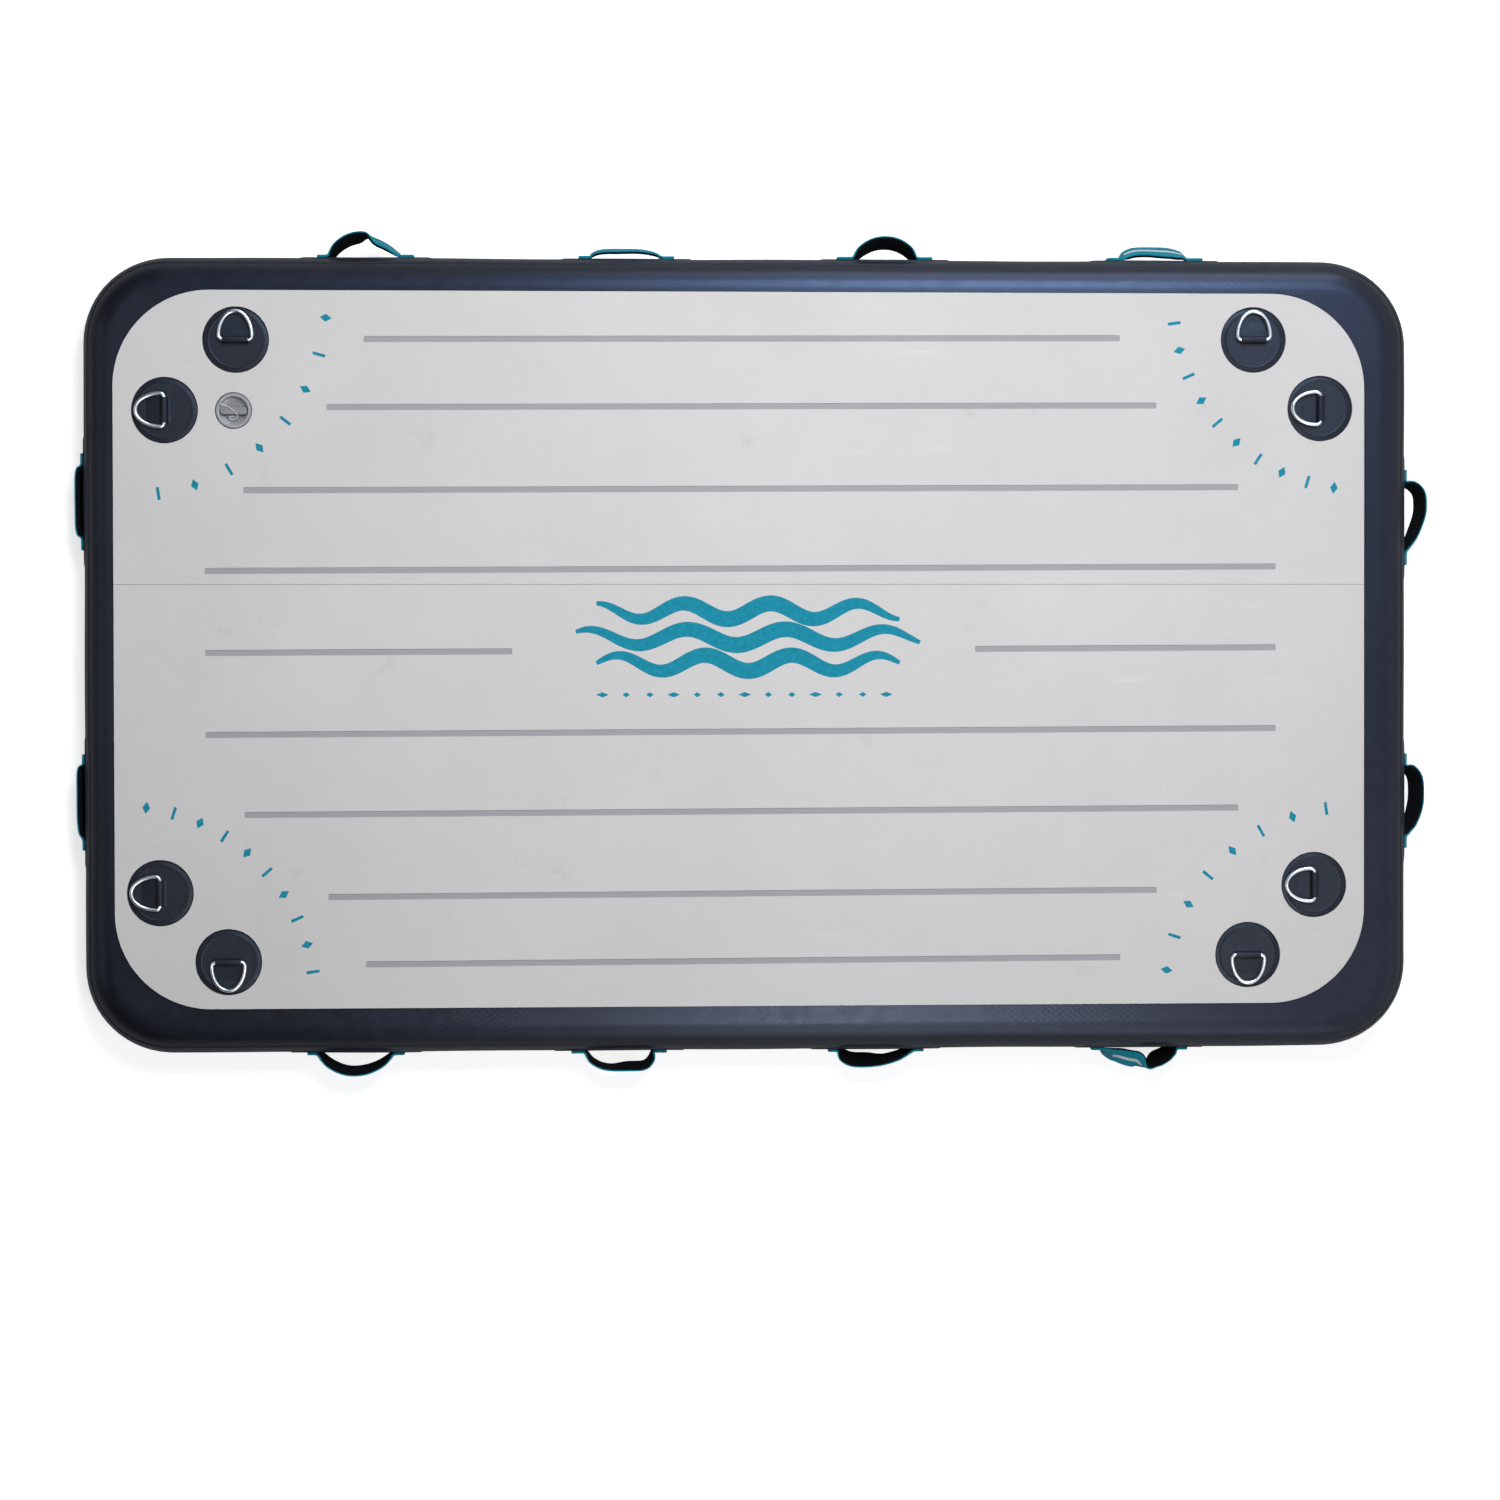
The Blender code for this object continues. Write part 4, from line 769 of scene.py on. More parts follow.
def makePrints():
    high, thick = prints["high"], prints["thickness"]
    for name, ((x, y), radius, start, end, count) in prints["arcs"].items():
        mesh = grown(name, bpy.data.meshes.new("seed"), trees["mark"], "ink", Radius=radius, StartAngle=math.radians(start),
                     Sweep=math.radians(end - start), Count=count, MarkLength=prints["markLength"],
                     MarkWidth=prints["markWidth"], Thickness=thick)
        mesh.transform(Matrix.Translation((x, y, high - thick / 2)))
        addPiece(name, mesh, "ink", "hull", "foam_deck", smooth=False)
    sheets = []
    for row, share in enumerate(ribbons["rows"]):
        inset = ribbons["inset"] * abs(row - 1)
        left, width = ribbons["left"] + inset, ribbons["right"] - ribbons["left"] - 2 * inset
        middle = ribbons["bottom"] + (ribbons["top"] - ribbons["bottom"]) * share
        shares = [i / ribbons["steps"] for i in range(ribbons["steps"] + 1)]
        swings = [math.sin(2 * math.pi * (t * ribbons["turns"] + ribbons["shift"] * row)) for t in shares]
        points = [(left + width * t, middle + ribbons["swing"] * swing) for t, swing in zip(shares, swings)]
        tips = [math.sin(math.pi * (ribbons["tip"] + (1 - 2 * ribbons["tip"]) * t)) ** 0.5 for t in shares]
        outline = ribbonOutline(points, [ribbons["halfWidth"] * tip for tip in tips])
        sheets.append(filledSheet("wave", [outline], high - thick, high))
    addPiece("printWaves", joined("printWaves", sheets), "ink", "hull", "foam_deck", smooth=False)
    sheets = []
    y, tall = lozenges["y"], lozenges["halfHeight"]
    for i in range(lozenges["count"]):
        x = lozenges["left"] + (lozenges["right"] - lozenges["left"]) * i / (lozenges["count"] - 1)
        half = lozenges["smallHalf"] if i % lozenges["bigEvery"] else lozenges["bigHalf"]
        outline = [(x - half, y), (x, y - tall), (x + half, y), (x, y + tall)]
        sheets.append(filledSheet("dot", [outline], high - thick, high))
    addPiece("printDots", joined("printDots", sheets), "ink", "hull", "foam_deck", smooth=False)
    print("prints made")


makePrints()


# profiles for turned pieces

def profileFrom(marks, runs):
    # each run: a named radius, a named height, and points in mm from there
    marks = {"axis": 0, **marks}
    return [(marks[radius] + out * mm, marks[height] + up * mm)
            for radius, height, *points in runs for out, up in points]


# D-rings and their round patches

ring = {"wire": 6.5 * mm, "sides": 20, "width": 56 * mm, "height": 48 * mm, "corner": 7 * mm, "level": 161.05 * mm,
        "bowSteps": 48, "cornerSteps": 8, "barPoints": range(-15, 16, 6)}
disc = {
    "level": 152.3 * mm, "base": 0, "rim": 55 * mm, "rimTop": 1.4 * mm, "cap": 47 * mm, "capTop": 2.6 * mm,
    "halfCap": 23.5 * mm, "sides": 96,
    "profile": (("axis", "base", (0, 0)), ("rim", "base", (-0.4, 0), (0, 0.5)), ("rim", "rimTop", (-0.1, -0.3), (-0.7, 0)),
                ("cap", "rimTop", (2.2, 0), (1.5, 0.35)),
                ("cap", "capTop", (0.9, 0.35), (0, 0.62), (-0.9, 0.35), (-1.6, 0), (-2.0, 0)),
                ("halfCap", "capTop", (0, 0)), ("axis", "capTop", (0, 0))),
}
keeper = {
    "length": 43 * mm, "wall": 1.8 * mm, "air": 0.4 * mm, "sunk": 0.2 * mm, "tail": 31 * mm, "bendSteps": 16,
    # section in mm: out from the sleeve's two sides and from the end of the tail, a darker sheet that stands for the
    # shadow in the ring's eye, and up from the patch
    "toe": ((-4.5, -0.2), (-4.5, 0.25), (-1.2, 1.2)), "heel": ((1.0, 1.5), (3, 0.9)),
    "shadowTailEnd": ((-1.5, 0.9), (0, 0.3), (0, -0.2)),
    "taper": ((0, 0.93), (0.6, 0.985), (1.4, 1.0)),  # mm from the end, and size there
}


def ringLine():
    # bow, rounded corner, bar, rounded corner
    half, corner, steps = ring["width"] / 2, ring["corner"], ring["cornerSteps"]
    bow = [math.pi * i / ring["bowSteps"] for i in range(ring["bowSteps"] + 1)]
    line = [(half * math.cos(a), corner + (ring["height"] - corner) * math.sin(a)) for a in bow]
    for side, first in ((-1, 1), (1, steps)):
        angles = [math.radians(180 + 90 * i / steps) for i in range(first, first + steps)]
        line += [(side * (half - corner) + corner * math.cos(a), corner + corner * math.sin(a)) for a in angles]
        if side < 0:
            line += [(x * mm, 0) for x in ring["barPoints"]]
    return [Vector((x, y, 0)) for x, y in line]


def keeperMesh():
    # rubber sleeve rolled over the bar; its tail, a darker flat sheet inside the ring's eye, is a painted shadow of the
    # ring and sleeve
    bar, floor = ring["level"] - disc["level"], disc["capTop"]
    outer, steps = ring["wire"] / 2 + keeper["air"] + keeper["wall"], keeper["bendSteps"]
    section = [(-outer + x * mm, floor + z * mm) for x, z in keeper["toe"]]
    bend = [math.pi - math.pi * i / steps for i in range(steps + 1)]
    section += [(outer * math.cos(a), bar + outer * math.sin(a)) for a in bend]
    section += [(outer + x * mm, floor + z * mm) for x, z in keeper["heel"]]
    section += [(keeper["tail"] + x * mm, floor + z * mm) for x, z in keeper["shadowTailEnd"]]
    half, base = keeper["length"] / 2, floor - keeper["sunk"]
    ends = [(-half + inset * mm, size) for inset, size in keeper["taper"]]
    ends += [(-x, size) for x, size in ends[::-1]]
    return loft("keeper", [[(x, y * (1 if abs(y) > outer else size), base + (z - base) * size) for y, z in section]
                           for x, size in ends])


def makeRings():
    sleeve, profile = keeperMesh(), profileFrom(disc, disc["profile"])
    for name, (shareX, shareY, heading) in ringPlaces.items():
        x, y = deckPoint(shareX, shareY)
        turn = Matrix.Rotation(math.radians(heading - 90), 4, "Z")
        seat = Matrix.Translation((x, y, disc["level"])) @ turn
        mesh = latheMesh("ringPatch_" + name, profile, disc["sides"])
        mesh.transform(seat)
        addPiece("ringPatch_" + name, mesh, "patch", "hull", "patch_rubber", "ring_patch_" + name, sharp=60)
        mesh = sleeve.copy()
        mesh.transform(seat)
        addPiece("ringKeeper_" + name, mesh, "keeper", "hull", "patch_rubber", sharp=40)
        mesh = tubeMesh("dRing_" + name, ringLine(), ring["wire"] / 2, ring["sides"], closed=True)
        mesh.transform(Matrix.Translation((x, y, ring["level"])) @ turn)
        addPiece("dRing_" + name, mesh, "steel", "ring_" + name, "steel", "d_ring_" + name, sharp=0)
    print("rings made")


makeRings()


# handles

handle = {
    "width": 38 * mm, "length": 165 * mm, "span": 130 * mm, "reach": 43 * mm, "webbing": 2.4 * mm, "padded": 6.3 * mm,
    "tail": 4.2 * mm, "base": 61.6 * mm, "proud": 3.1 * mm, "tailSteps": 21, "archSteps": 400, "step": 1.5 * mm,
    "turnShare": 0.6, "leanPower": 0.45, "sink": 1.2 * mm, "softening": 10,  # rounds of smoothing at the feet
    "edge": 1.1 * mm, "edgeSteps": 3, "across": 9, "foot": 60 * mm,
}
pad = {"half": 18.7 * mm, "low": 0.1 * mm, "least": 0.5 * mm, "edge": 0.2 * mm, "edgeGain": 0.7 * mm, "freeFrom": 0.06}
lens = {"length": 226 * mm, "height": 66 * mm, "face": 61.4 * mm, "roundness": 0.85, "rings": 10, "sides": 72,
        "flatShare": 0.985, "rim": ((0.995, 0.25), (1.0, 0.7), (1.0, 1.7))}  # share of the way out, mm below the face
stitch = {"pitch": 3.6 * mm, "inset": 3.2 * mm, "lift": 0.05 * mm, "tailUpTo": 0.02, "bar": (-1, -0.5, 0, 0.5, 1)}
stripe = {"handles": ("back_4", "front_1"), "half": 3.4 * mm, "sunk": 0.05 * mm, "proud": 0.2 * mm,
          "freeFrom": 0.9, "upTo": 0.95}
# place, span, reach, peak, how square left and right, tip left and right, where the tip changes, as shares
handleForms = {
    "back": ((-0.578, 0.97, 1.03, -0.10, 2.3, 1.4, -0.31, 0.38, 0.04), (-0.186, 0.98, 0.49, -0.05, 6.0, 3.4, 0.66, 0.60, 0),
             (0.205, 0.84, 0.94, 0.00, 2.1, 2.4, -0.41, -0.41, 0), (0.617, 0.87, 0.64, -0.10, 5.0, 4.5, 0.85, 0.95, 0)),
    "front": ((-0.593, 0.97, 0.92, -0.05, 2.8, 2.0, -0.72, 0.86, -0.22), (-0.190, 1.00, 0.75, 0.35, 1.9, 3.6, -0.46, -0.74, 0),
              (0.200, 0.90, 0.83, -0.40, 5.0, 4.6, -0.30, -0.12, 0), (0.597, 1.00, 0.94, 0.05, 2.1, 2.1, -0.30, -0.27, 0)),
    "left": ((0.386, 0.94, 0.32, 0.00, 9.0, 9.0, -0.80, -0.80, 0), (-0.368, 0.98, 0.31, 0.30, 5.0, 9.0, -0.80, -0.80, 0)),
    "right": ((-0.349, 0.93, 0.92, -0.25, 5.0, 1.5, -0.30, -0.34, 0), (0.374, 0.93, 0.83, -0.10, 5.0, 1.9, -0.54, -0.58, 0)),
}
hullSides = {  # turn in degrees, half of the length that places are shares of, distance of the flat edge
    "back": (0, 1.143, 0.624), "left": (90, 0.684, 1.083), "front": (180, 1.143, 0.624), "right": (270, 0.684, 1.083),
}


def sideSeat(side, share):
    # from a handle's own frame, x along the side and y outwards, to the hull
    degrees, half, flat = hullSides[side]
    turn = math.radians(degrees)
    along = Vector((math.cos(turn), math.sin(turn), 0))
    out = Vector((-along.y, along.x, 0))
    spot = along * (share * half) + out * flat + Vector((0, 0, midHeight))
    return Matrix.Translation(spot) @ Matrix.Rotation(turn, 4, "Z")


def archLine(form):
    # x, lift, tip and height along the strap, closely spaced, with the two flat tails
    _, spanShare, reachShare, peak, squareLeft, squareRight, tipLeft, tipRight, turnAt = form
    halfSpan, room = spanShare * handle["span"] / 2, reachShare * handle["reach"] - handle["padded"]
    half, rows, fine = handle["archSteps"] // 2, handle["tailSteps"], []
    tail = [(halfSpan + (handle["length"] / 2 - halfSpan) * i / rows, 0.0, 0.0, 0.0) for i in range(1, rows + 1)]
    for i in range(2 * half + 1):
        t = math.sin(math.pi / 2 * (i / half - 1))
        if t < peak:
            height = 1 - ((peak - t) / (peak + 1)) ** squareLeft
        else:
            height = 1 - ((t - peak) / (1 - peak)) ** squareRight
        turned = eased((t - turnAt) / handle["turnShare"] + 0.5)
        lean = (tipLeft * (1 - turned) + tipRight * turned) * min(1, room / handle["width"])
        lean *= max(0, height) ** handle["leanPower"]
        dip = handle["width"] / 2 * abs(lean)
        lift = max(height * room - dip, dip - handle["sink"])
        fine.append((t * halfSpan, lift, math.asin(max(-1, min(1, lean))), height))
    return [(-x, *rest) for x, *rest in tail[::-1]] + fine + tail


def strapStations(form):
    # evenly spaced with softened feet: foot, direction across the strap, direction out of it, how free it is, run
    fine, runs, even, k = archLine(form), [0.0], [], 0
    for a, b in zip(fine, fine[1:]):
        runs.append(runs[-1] + math.hypot(b[0] - a[0], b[1] - a[1]))
    length = runs[-1]
    count = round(length / handle["step"])
    for i in range(count + 1):
        goal = length * i / count
        while k < len(runs) - 2 and runs[k + 1] < goal:
            k += 1
        t = (goal - runs[k]) / max(1e-9, runs[k + 1] - runs[k])
        even.append(tuple(a + (b - a) * t for a, b in zip(fine[k], fine[k + 1])))
    for _ in range(handle["softening"]):
        inner = [tuple((a + 2 * b + c) / 4 for a, b, c in zip(*three)) for three in zip(even, even[1:], even[2:])]
        even = even[:1] + inner + even[-1:]
    stations = []
    for i, (x, lift, tip, height) in enumerate(even):
        before, after = even[max(i - 1, 0)], even[min(i + 1, count)]
        slope = math.atan2(after[1] - before[1], after[0] - before[0])
        away = Vector((-math.sin(slope), math.cos(slope), 0))
        across = Vector((0, 0, math.cos(tip))) - away * math.sin(tip)
        normal = away * math.cos(tip) + Vector((0, 0, math.sin(tip)))
        foot = Vector((x, handle["base"] + lift, 0))
        stations.append((foot, across, normal, min(1, height * 2), length * i / count))
    return stations


def strapPoint(station, across, out):
    # a point of the strap: across its width and out of its inner face
    foot, rise, normal, free, _ = station
    drop = wallOut(across, handle["proud"]) - wallOut(0, handle["proud"])
    return foot + rise * across + normal * (out + (1 - free) * drop)


def webbingTop(free):
    # the webbing's outer face, lifted by the pad and doubled at the tails
    return handle["padded"] * free + handle["tail"] * (1 - free)


def flatSection(half, low, high, edge):
    return roundedBox(-half, low, half, high, edge, handle["edgeSteps"], handle["across"])


def webbingSection(free):
    low = (handle["padded"] - handle["webbing"]) * free
    return flatSection(handle["width"] / 2, low, webbingTop(free), handle["edge"])


def padSection(free):
    high = max(pad["least"], (handle["padded"] - handle["webbing"]) * free)
    return flatSection(pad["half"], pad["low"], high, pad["edge"] + pad["edgeGain"] * free)


def strapMesh(name, stations, sectionAt):
    # a section lofted along the strap, with a UV map in metres
    sections = [sectionAt(station[3]) for station in stations]
    both = list(zip(stations, sections))
    mesh = loft(name, [[strapPoint(station, *spot) for spot in section] for station, section in both])
    uvs = [(station[4], across) for station, section in both for across, _ in section]
    layer = mesh.uv_layers.new(name="UVMap")
    for loop in mesh.loops:
        layer.data[loop.index].uv = uvs[loop.vertex_index]
    return mesh


def squared(angle, power):
    # point on a unit circle drawn out to its corners by a power below 1
    return [math.copysign(abs(v) ** power, v) for v in (math.cos(angle), math.sin(angle))]


def lensMesh():
    # patch glued to the wall, in the handle's own frame
    top = lens["face"] - hull["reach"]
    layers = [(lens["flatShare"] * (i + 1) / lens["rings"], 0) for i in range(lens["rings"])] + list(lens["rim"])

    def row(share, below, count=lens["sides"]):
        made = []
        for i in range(count):
            x, z = squared(2 * math.pi * (i + 0.5) / count, lens["roundness"])
            rise, proud = z * share * lens["height"] / 2, top - below * mm
            made.append((x * share * lens["length"] / 2, wallOut(rise, proud), rise))
        return made

    return loft("lens", [row(0, 0, 1)] + [row(*layer) for layer in layers] + [row(0, layers[-1][1], 1)])


def stitchMesh(name, stations):
    # two long seams, and a box with a cross on each tail
    last, seam = len(stations) - 1, handle["width"] / 2 - stitch["inset"]
    lines = [[(i, edge) for i in range(2, last - 1)] for edge in (-1, 1)]
    for end in (-1, 1):
        tail = [i for i in range(2, last - 1) if stations[i][0].x * end > 0 and stations[i][3] < stitch["tailUpTo"]]
        if len(tail) > 2:
            lines += [[(i, share) for share in stitch["bar"]] for i in (tail[0], tail[-1])]
            lines += [[(i, flip * (2 * k / (len(tail) - 1) - 1)) for k, i in enumerate(tail)] for flip in (1, -1)]
    made = []
    for line in lines:
        points = [strapPoint(stations[i], share * seam, webbingTop(stations[i][3]) + stitch["lift"]) for i, share in line]
        made.append(grown("stitches", lineMesh(points), trees["stitch"], "thread", Pitch=stitch["pitch"]))
    return joined(name, made)


def makeHandle(label, side, form, patch):
    seat, stations = sideSeat(side, form[0]), strapStations(form)
    free = [i for i, station in enumerate(stations) if station[3] > pad["freeFrom"]]
    strap = strapMesh("handleStrap_" + label, stations, webbingSection)
    cushion = strapMesh("handlePad_" + label, stations[free[0]:free[-1] + 1], padSection)
    stitches = stitchMesh("handleStitches_" + label, stations)
    patch.transform(seat)
    swell(patch)
    foot = seat @ Vector((0, handle["foot"], 0))
    away, _ = outFrom(foot.x, foot.y)
    for mesh in (strap, cushion, stitches):  # they follow the wall's unevenness
        mesh.transform(seat)
        for vertex in mesh.vertices:
            x, y, _ = vertex.co
            vertex.co += away * (rimWave(x, foot.y) if abs(away.y) > 0.5 else rimWave(foot.x, y))
    addPiece("handlePatch_" + label, patch, "patch", "hull", "patch_rubber", "handle_patch_" + label, sharp=50)
    for name, mesh, look in (("handleStrap_", strap, "teal"), ("handlePad_", cushion, "neoprene")):
        piece = addPiece(name + label, mesh, look, "hull", "webbing", "handle_" + label, sharp=60)
    addPiece("handleStitches_" + label, stitches, "thread", "hull", "webbing", sharp=0)
    if label in stripe["handles"]:  # these two turn their outer face up
        half, low, high = stripe["half"], handle["padded"] - stripe["sunk"], handle["padded"] + stripe["proud"]
        section = [(half, low), (half, high), (-half, high), (-half, low)]
        middle = [s for s in stations if s[3] > stripe["freeFrom"] and s[1].z < stripe["upTo"] and s[2].z > 0]
        mesh = strapMesh("handleStripes_" + label, middle, lambda _: section)
        mesh.transform(seat)
        addPiece("handleStripes_" + label, mesh, "weaveWhite", "hull", "webbing", sharp=30)


def makeHandles():
    patch = lensMesh()
    for side, forms in handleForms.items():
        for i, form in enumerate(forms):
            makeHandle(f"{side}_{i + 1}", side, form, patch.copy())
    print("handles made")


makeHandles()


# valve

valve = {
    "flange": 30 * mm, "top": 157.3 * mm, "under": 153.8 * mm, "barrel": 26 * mm, "cup": 24 * mm, "straight": 147.8 * mm,
    "floor": 143.0 * mm, "floorUnder": 140.5 * mm, "floorRadius": 16.5 * mm, "throat": 11 * mm, "throatOuter": 13.5 * mm,
    "seat": 118.0 * mm, "sides": 128,
    "body": (("cup", "straight", (0, 0)), ("cup", "top", (0, -1.8), (0.5, -0.5), (1.4, 0)),
             ("flange", "top", (-2.6, 0), (-2.3, -0.35), (-1.9, -0.35), (-1.6, -0.1), (-0.6, -0.7), (0, -1.6)),
             ("flange", "under", (0, 0)), ("barrel", "under", (0, 0)), ("barrel", "floorUnder", (0, 0)),
             ("throatOuter", "floorUnder", (0, 0)), ("throatOuter", "seat", (0, 0)), ("throat", "seat", (0, 0)),
             ("throat", "floor", (0, 0)), ("floorRadius", "floor", (0, 0), (1.2, 1.25)),
             ("floorRadius", "straight", (3.4, -1.9))),
    "hubHole": 2.9 * mm, "hub": 5.5 * mm, "hubSides": 48, "spiderLow": 123.0 * mm, "spiderTop": 126.0 * mm,
    "hubShape": (("hubHole", "spiderLow", (0, -0.3)), ("hub", "spiderLow", (0, -0.3)), ("hub", "spiderTop", (0, 0.3)),
                 ("hubHole", "spiderTop", (0, 0.3))),
    "arm": (5, -1.25, 11.5, 1.25), "armEdge": 0.3 * mm,  # left, bottom, right and top in mm
}
cap = {
    "radius": 15.3 * mm, "low": 144.6 * mm, "top": 146.6 * mm, "neck": 7.5 * mm, "throat": 11 * mm, "sides": 96,
    "gripLow": 148.4 * mm, "gripTop": 156.0 * mm, "gripLength": 45 * mm, "gripWidth": 14.4 * mm, "gripWaist": 12 * mm,
    "gripSides": 96, "gripPower": 0.55, "waistShare": 0.75, "gripEdge": 1.1 * mm, "gripSteps": 4,
    "disc": (("axis", "top", (0, -3)), ("throat", "top", (-3, -3)),  # disc with a step, hollow plug and neck
             ("throat", "low", (-3, -5.6), (-0.9, -5.6), (-0.4, -4.8), (-0.4, 0)),
             ("radius", "low", (-0.3, 0), (0, 0.4)), ("radius", "top", (0, -0.5), (-0.5, 0), (-2.4, 0), (-2.9, -0.4)),
             ("neck", "top", (1.2, -0.4), (0.2, 0.3)), ("neck", "gripLow", (0, 1)), ("axis", "gripLow", (0, 1))),
    "ribs": (12.2, 14.3, 16.4, 18.5), "ribHalf": (0.45, 4.6), "ribSunk": 0.4 * mm, "ribProud": 0.3 * mm,  # places in mm
    "ribEdge": 0.2 * mm, "ribSteps": 2,
    "lug": (6.5, -11.2, 9.1, -8.6), "lugFrom": 1 * mm, "lugProud": 2.4 * mm, "lugEdge": 0.4 * mm,
}


def prism(outline, low, high, edge, steps=3):
    # upright solid with softened top and bottom edges
    angles = [math.pi / 2 * k / steps for k in range(steps + 1)]
    rims = [(edge * (1 - math.sin(a)), edge * (1 - math.cos(a))) for a in angles]
    levels = [(inset, low + rise) for inset, rise in rims] + [(inset, high - rise) for inset, rise in rims[::-1]]
    spots = [Vector(point) for point in outline]
    ways = [(after - before).normalized() for before, after in zip(spots[-1:] + spots, spots[1:] + spots[:1])]
    rows = [[(spot.x - way.y * inset, spot.y + way.x * inset, z) for spot, way in zip(spots, ways)] for inset, z in levels]
    return loft("prism", rows)


def block(corners, *sizes):
    left, bottom, right, top = (v * mm for v in corners)
    return prism([(left, bottom), (right, bottom), (right, top), (left, top)], *sizes)


def gripOutline():
    # bone shape: round ends, narrow waist
    half, wide, waist = cap["gripLength"] / 2, cap["gripWidth"] / 2, cap["gripWaist"] / 2
    outline = []
    for i in range(cap["gripSides"]):
        x, y = squared(2 * math.pi * i / cap["gripSides"], cap["gripPower"])
        reach = waist + (wide - waist) * min(1, abs(x) / cap["waistShare"]) ** 2
        outline.append((x * half, y * reach))
    return outline


def makeValve():
    place = Matrix.Translation(valveCentre)
    parts = [latheMesh("valveBody", profileFrom(valve, valve["body"]), valve["sides"], valveCentre),
             latheMesh("hub", profileFrom(valve, valve["hubShape"]), valve["hubSides"], valveCentre)]
    for turn in (0, 90, 180, 270):
        parts.append(block(valve["arm"], valve["spiderLow"], valve["spiderTop"], valve["armEdge"]))
        parts[-1].transform(place @ Matrix.Rotation(math.radians(turn), 4, "Z"))
    addPiece("valveBody", joined("valveBody", parts), "valve", "hull", "valve_plastic", "valve_body", sharp=30)
    top = cap["gripTop"]
    parts = [prism(gripOutline(), cap["gripLow"], top, cap["gripEdge"], cap["gripSteps"])]
    for x in [-x for x in cap["ribs"]] + list(cap["ribs"]):
        halfX, halfY = cap["ribHalf"]
        parts.append(block((x - halfX, -halfY, x + halfX, halfY), top - cap["ribSunk"], top + cap["ribProud"],
                           cap["ribEdge"], cap["ribSteps"]))
    parts.append(block(cap["lug"], cap["low"] + cap["lugFrom"], cap["top"] + cap["lugProud"], cap["lugEdge"]))
    for mesh in parts:
        mesh.transform(place)
    parts.insert(0, latheMesh("disc", profileFrom(cap, cap["disc"]), cap["sides"], valveCentre))
    addPiece("valveCap", joined("valveCap", parts), "cap", "cap", "valve_plastic", "valve_cap", sharp=30)
    print("valve made")


makeValve()


# drop-stitch core inside the hull: two woven faces and the yarns between them

core = {
    "halfLength": 1.068, "halfWidth": 0.609, "cornerRadius": 0.074, "cornerSteps": 12, "low": 1.6 * mm, "high": 150.4 * mm,
    "face": 1.2 * mm, "rowPitch": 62 * mm, "yarnPitch": 14 * mm, "yarnRadius": 0.55 * mm, "yarnSunk": 0.05 * mm,
    "border": 10 * mm, "cornerAir": 4 * mm, "well": 39.5 * mm, "wellSides": 64, "wellAir": 2 * mm,
}


def makeCore():
    halfX, halfY, corner, low, high = (core[key] for key in ("halfLength", "halfWidth", "cornerRadius", "low", "high"))
    outline = roundedBox(-halfX, -halfY, halfX, halfY, corner, core["cornerSteps"])
    well = circle(core["wellSides"], core["well"], valveCentre)
    for name, loops, level in (("coreTopFace", [outline, well], high - core["face"]), ("coreBottomFace", [outline], low)):
        mesh = filledSheet(name, loops, level, level + core["face"])
        addPiece(name, mesh, "core", "hull", "woven_core", "drop_stitch_core", sharp=30)
    columns = math.floor((halfX - core["border"]) / core["rowPitch"])
    rows = math.floor((halfY - core["border"]) / core["yarnPitch"])
    places = []
    for i in range(-columns, columns + 1):
        for j in range(-rows, rows + 1):
            x, y = i * core["rowPitch"], j * core["yarnPitch"]
            inCorner = math.hypot(max(0, abs(x) - halfX + corner), max(0, abs(y) - halfY + corner))
            fromValve = math.hypot(x - valveCentre.x, y - valveCentre.y)
            if inCorner < corner - core["cornerAir"] and fromValve > core["well"] + core["wellAir"]:
                places.append((x, y, (low + high) / 2))
    seed = bpy.data.meshes.new("yarnSeed")
    seed.from_pydata(places, [], [])
    tall = high - low - 2 * (core["face"] - core["yarnSunk"])
    yarns = grown("coreYarns", seed, trees["yarn"], "core", Radius=core["yarnRadius"], Tall=tall)
    addPiece("coreYarns", yarns, "core", "hull", "woven_core", "drop_stitch_core", sharp=180)
    print("core made")


makeCore()


# valve spring, a helix through the part's box; the real one shortens as the plunger is pushed

spring = {"wire": 0.8 * mm, "turns": 5, "steps": 28, "sides": 10, "push": 5 * mm}


def makeSpring():
    low, high = (Vector(corner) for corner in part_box("valve_spring"))
    middle, radius, wire = (low + high) / 2, (high.x - low.x - spring["wire"]) / 2, spring["wire"] / 2
    count, climb = spring["turns"] * spring["steps"], high.z - low.z - 2 * wire
    route = []
    for i in range(count + 1):
        angle = 2 * math.pi * i / spring["steps"]
        x, y = middle.x + radius * math.cos(angle), middle.y + radius * math.sin(angle)
        route.append(Vector((x, y, low.z + wire + climb * i / count)))
    mesh = tubeMesh("valveSpring", route, wire, spring["sides"])
    piece = addPiece("valveSpring", mesh, "spring", "hull", "steel", "valve_spring", sharp=60)
    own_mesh(piece)


makeSpring()


# solids that show as they are

asBuilt = {"valve_gasket": "seal", "valve_clamp_nut": "valve", "valve_plunger": "valve",
           "valve_spring_washer": "spring", "valve_cap_seal": "seal"}
for nodeName, look in asBuilt.items():
    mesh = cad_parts[nodeName].data
    mesh.materials.clear()
    mesh.materials.append(finish[look])


# floor and light

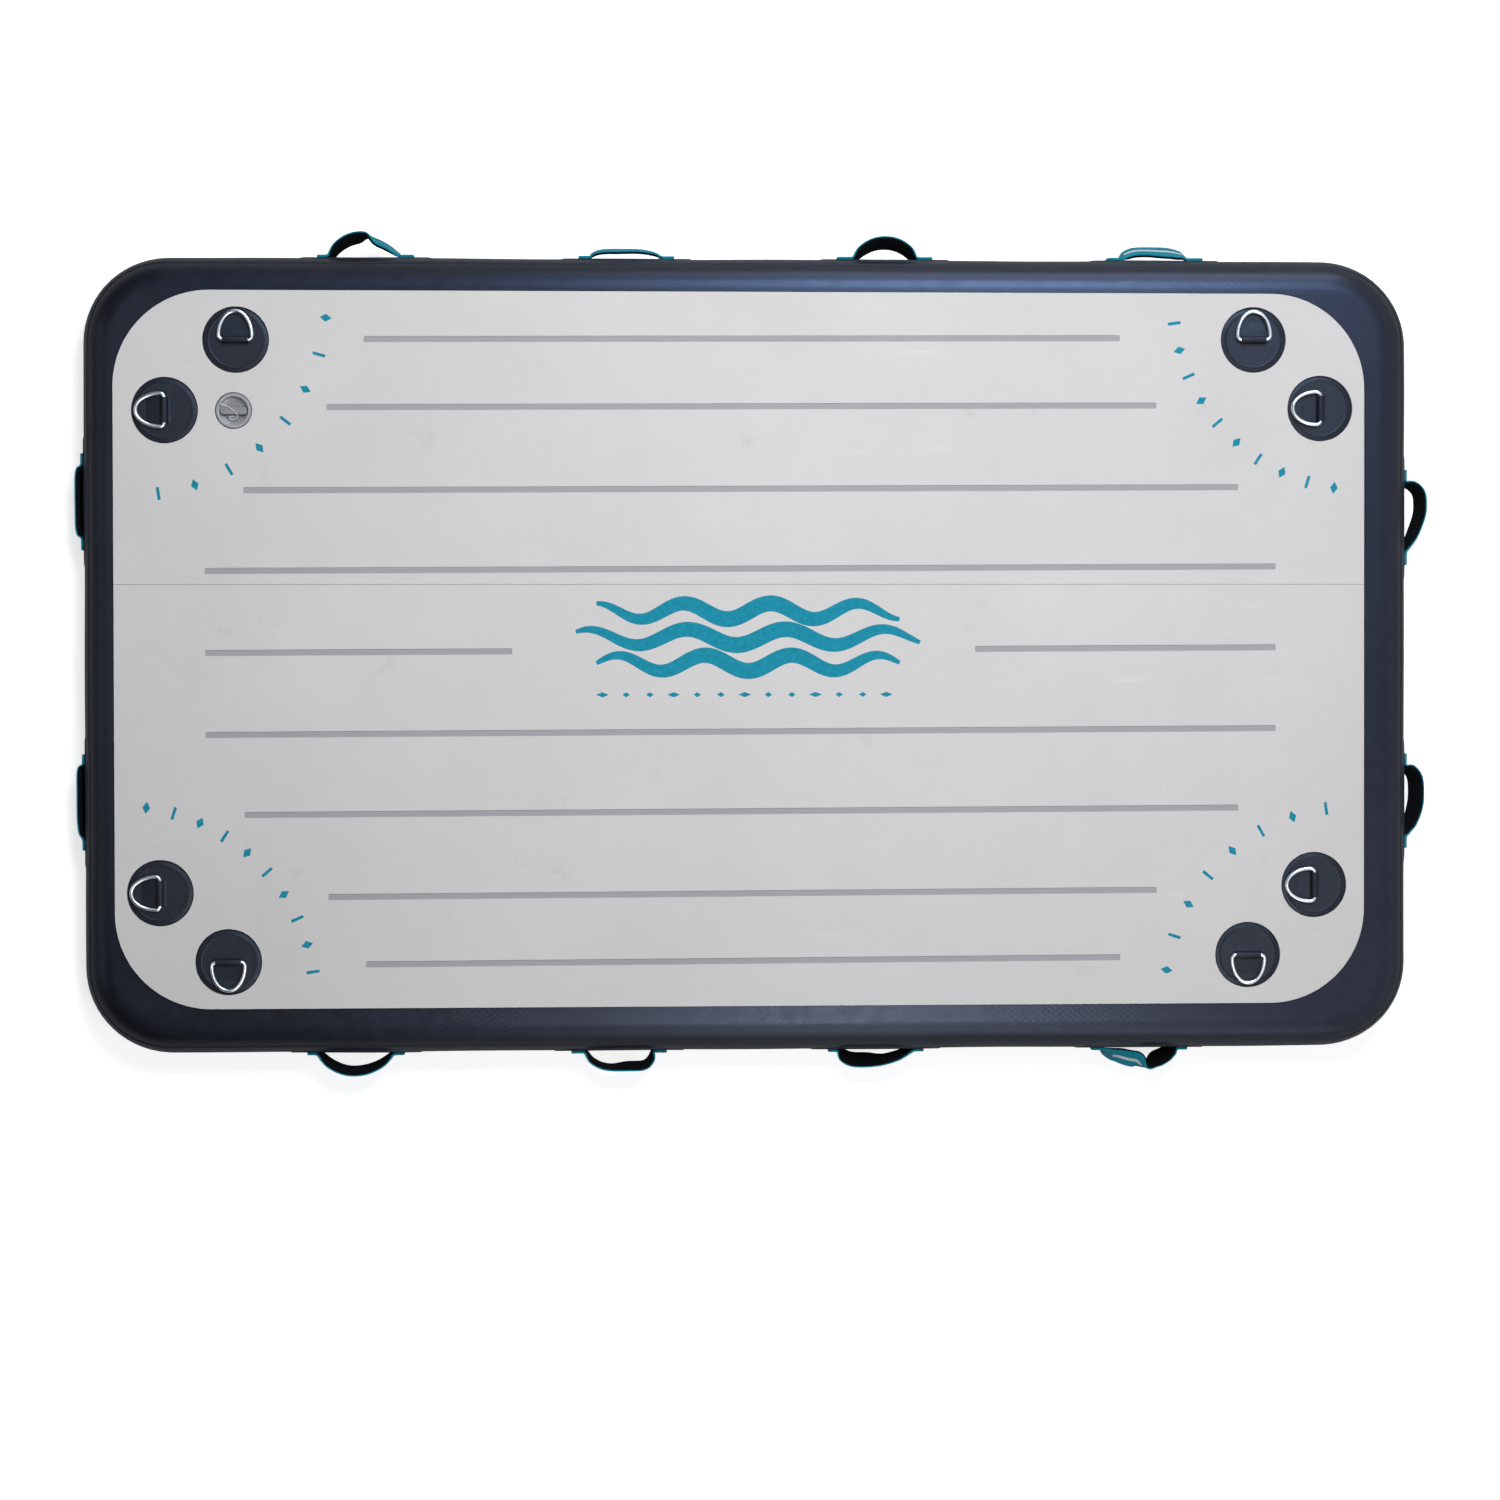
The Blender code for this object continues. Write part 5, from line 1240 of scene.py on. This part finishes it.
light = {
    "floorHalf": 30, "floorBelow": 0.6 * mm, "floorRoughness": 0.9,
    "floorShade": 0.86, "floorInGloss": 0.4, "lift": 0.7, "liftInGloss": 0.02, "world": 0.12,
    "glossFrom": (-0.19, 0.0), "glossTo": (0.36, 0.75), "glossLean": (1.2, 0.15), "glossTint": (0.82, 0.89, 1.0, 1),
    "panels": {  # middle, size, turns about X and Y in degrees, watts, colour, seen by matt and by glossy surfaces
        "keyPanel": ((0.12, 1.15, 3.4), (1.0, 1.0), (0, 0), 64, (1.0, 0.985, 0.97), True, False),
        "backPanel": ((0.85, 2.1, 3.6), (1.4, 1.5), (-14, 0), 46, (0.86, 0.93, 1.0), True, False),
        "skyPanel": ((0.95, 2.85, 3.95), (1.5, 3.0), (-30, 0), 208, (0.48, 0.70, 1.0), False, True),
        "farPanel": ((1.5, 5.5, 1.9), (3.2, 2.6), (-75, 0), 85, (0.72, 0.84, 1.0), False, True),
        "frontPanel": ((0.62, -1.4, 3.6), (1.1, 1.6), (0, 0), 30, (0.97, 0.98, 1.0), True, False),
        "nearPanel": ((0.42, -1.55, 3.4), (0.85, 2.1), (0, 0), 45, (0.92, 0.96, 1.0), False, True),
        "lowPanel": ((0.6, -3.9, 2.9), (1.5, 2.2), (52, 0), 27, (0.86, 0.92, 1.0), False, True),
        "rimPanel": ((1.0, -5.6, 1.6), (2.8, 2.2), (76, 0), 26, (0.92, 0.95, 1.0), False, True),
        "leftPanel": ((-2.6, 0.35, 3.0), (2.4, 1.6), (0, 0), 9, (0.85, 0.92, 1.0), False, True),
        "leftRimPanel": ((-5.2, 0.3, 2.0), (2.6, 4.2), (0, -70), 17, (0.85, 0.92, 1.0), False, True),
    },
}
white = (1, 1, 1, 1)


def makeFloor():
    half = light["floorHalf"]
    mesh = bpy.data.meshes.new("floor")
    mesh.from_pydata([(-half, -half, 0), (half, -half, 0), (half, half, 0), (-half, half, 0)], [], [(0, 1, 2, 3)])
    floor = bpy.data.objects.new("floor", mesh)
    scene.collection.objects.link(floor)
    floor.location.z = -light["floorBelow"]
    look, tree, shader = newLook("paleFloor")
    rays = addNode(tree, "ShaderNodeLightPath").outputs
    mirrored = calc(tree, "MAXIMUM", rays["Is Glossy Ray"], rays["Is Transmission Ray"])
    seen = calc(tree, "MULTIPLY", rays["Is Camera Ray"], light["lift"])
    seen = calc(tree, "ADD", seen, calc(tree, "MULTIPLY", mirrored, light["liftInGloss"]))
    tone = remap(tree, mirrored, (0, 1), (light["floorShade"], light["floorInGloss"]))
    dress(tree, shader, {"Base Color": tone, "Roughness": light["floorRoughness"], "Emission Color": white,
                         "Emission Strength": seen})
    mesh.materials.append(look)


def makeLight():
    world = bpy.data.worlds.new("studio")
    world.use_nodes = True
    scene.world = world
    tree, dim = world.node_tree, light["world"]
    rays = addNode(tree, "ShaderNodeLightPath").outputs
    # what shines sees a room that is brighter at its right and back
    place = addNode(tree, "ShaderNodeTexCoord").outputs["Generated"]
    axes = addNode(tree, "ShaderNodeSeparateXYZ", [(0, place)]).outputs
    side = calc(tree, "ADD", *(calc(tree, "MULTIPLY", axis, lean) for axis, lean in zip(axes, light["glossLean"])))
    (start, low), (end, high) = light["glossFrom"], light["glossTo"]
    room = remap(tree, side, (start, end), (low - dim, high - dim))
    strength = calc(tree, "ADD", calc(tree, "MULTIPLY", rays["Is Glossy Ray"], room), dim)
    strength = calc(tree, "ADD", calc(tree, "MULTIPLY", rays["Is Camera Ray"], 1 - dim), strength)
    tint = blendColour(tree, rays["Is Glossy Ray"], white, light["glossTint"])
    dress(tree, tree.nodes["Background"], {"Strength": strength, "Color": tint})
    for name, (spot, size, turn, power, tint, inMatt, inGloss) in light["panels"].items():
        data = bpy.data.lights.new(name, "AREA")
        data.shape, data.energy, data.color = "RECTANGLE", power, tint
        data.size, data.size_y = size
        lamp = bpy.data.objects.new(name, data)
        lamp.location = spot
        lamp.rotation_euler = [math.radians(a) for a in turn] + [0]
        lamp.visible_camera, lamp.visible_diffuse, lamp.visible_glossy = False, inMatt, inGloss
        scene.collection.objects.link(lamp)


makeFloor()
makeLight()

print("scene ready")
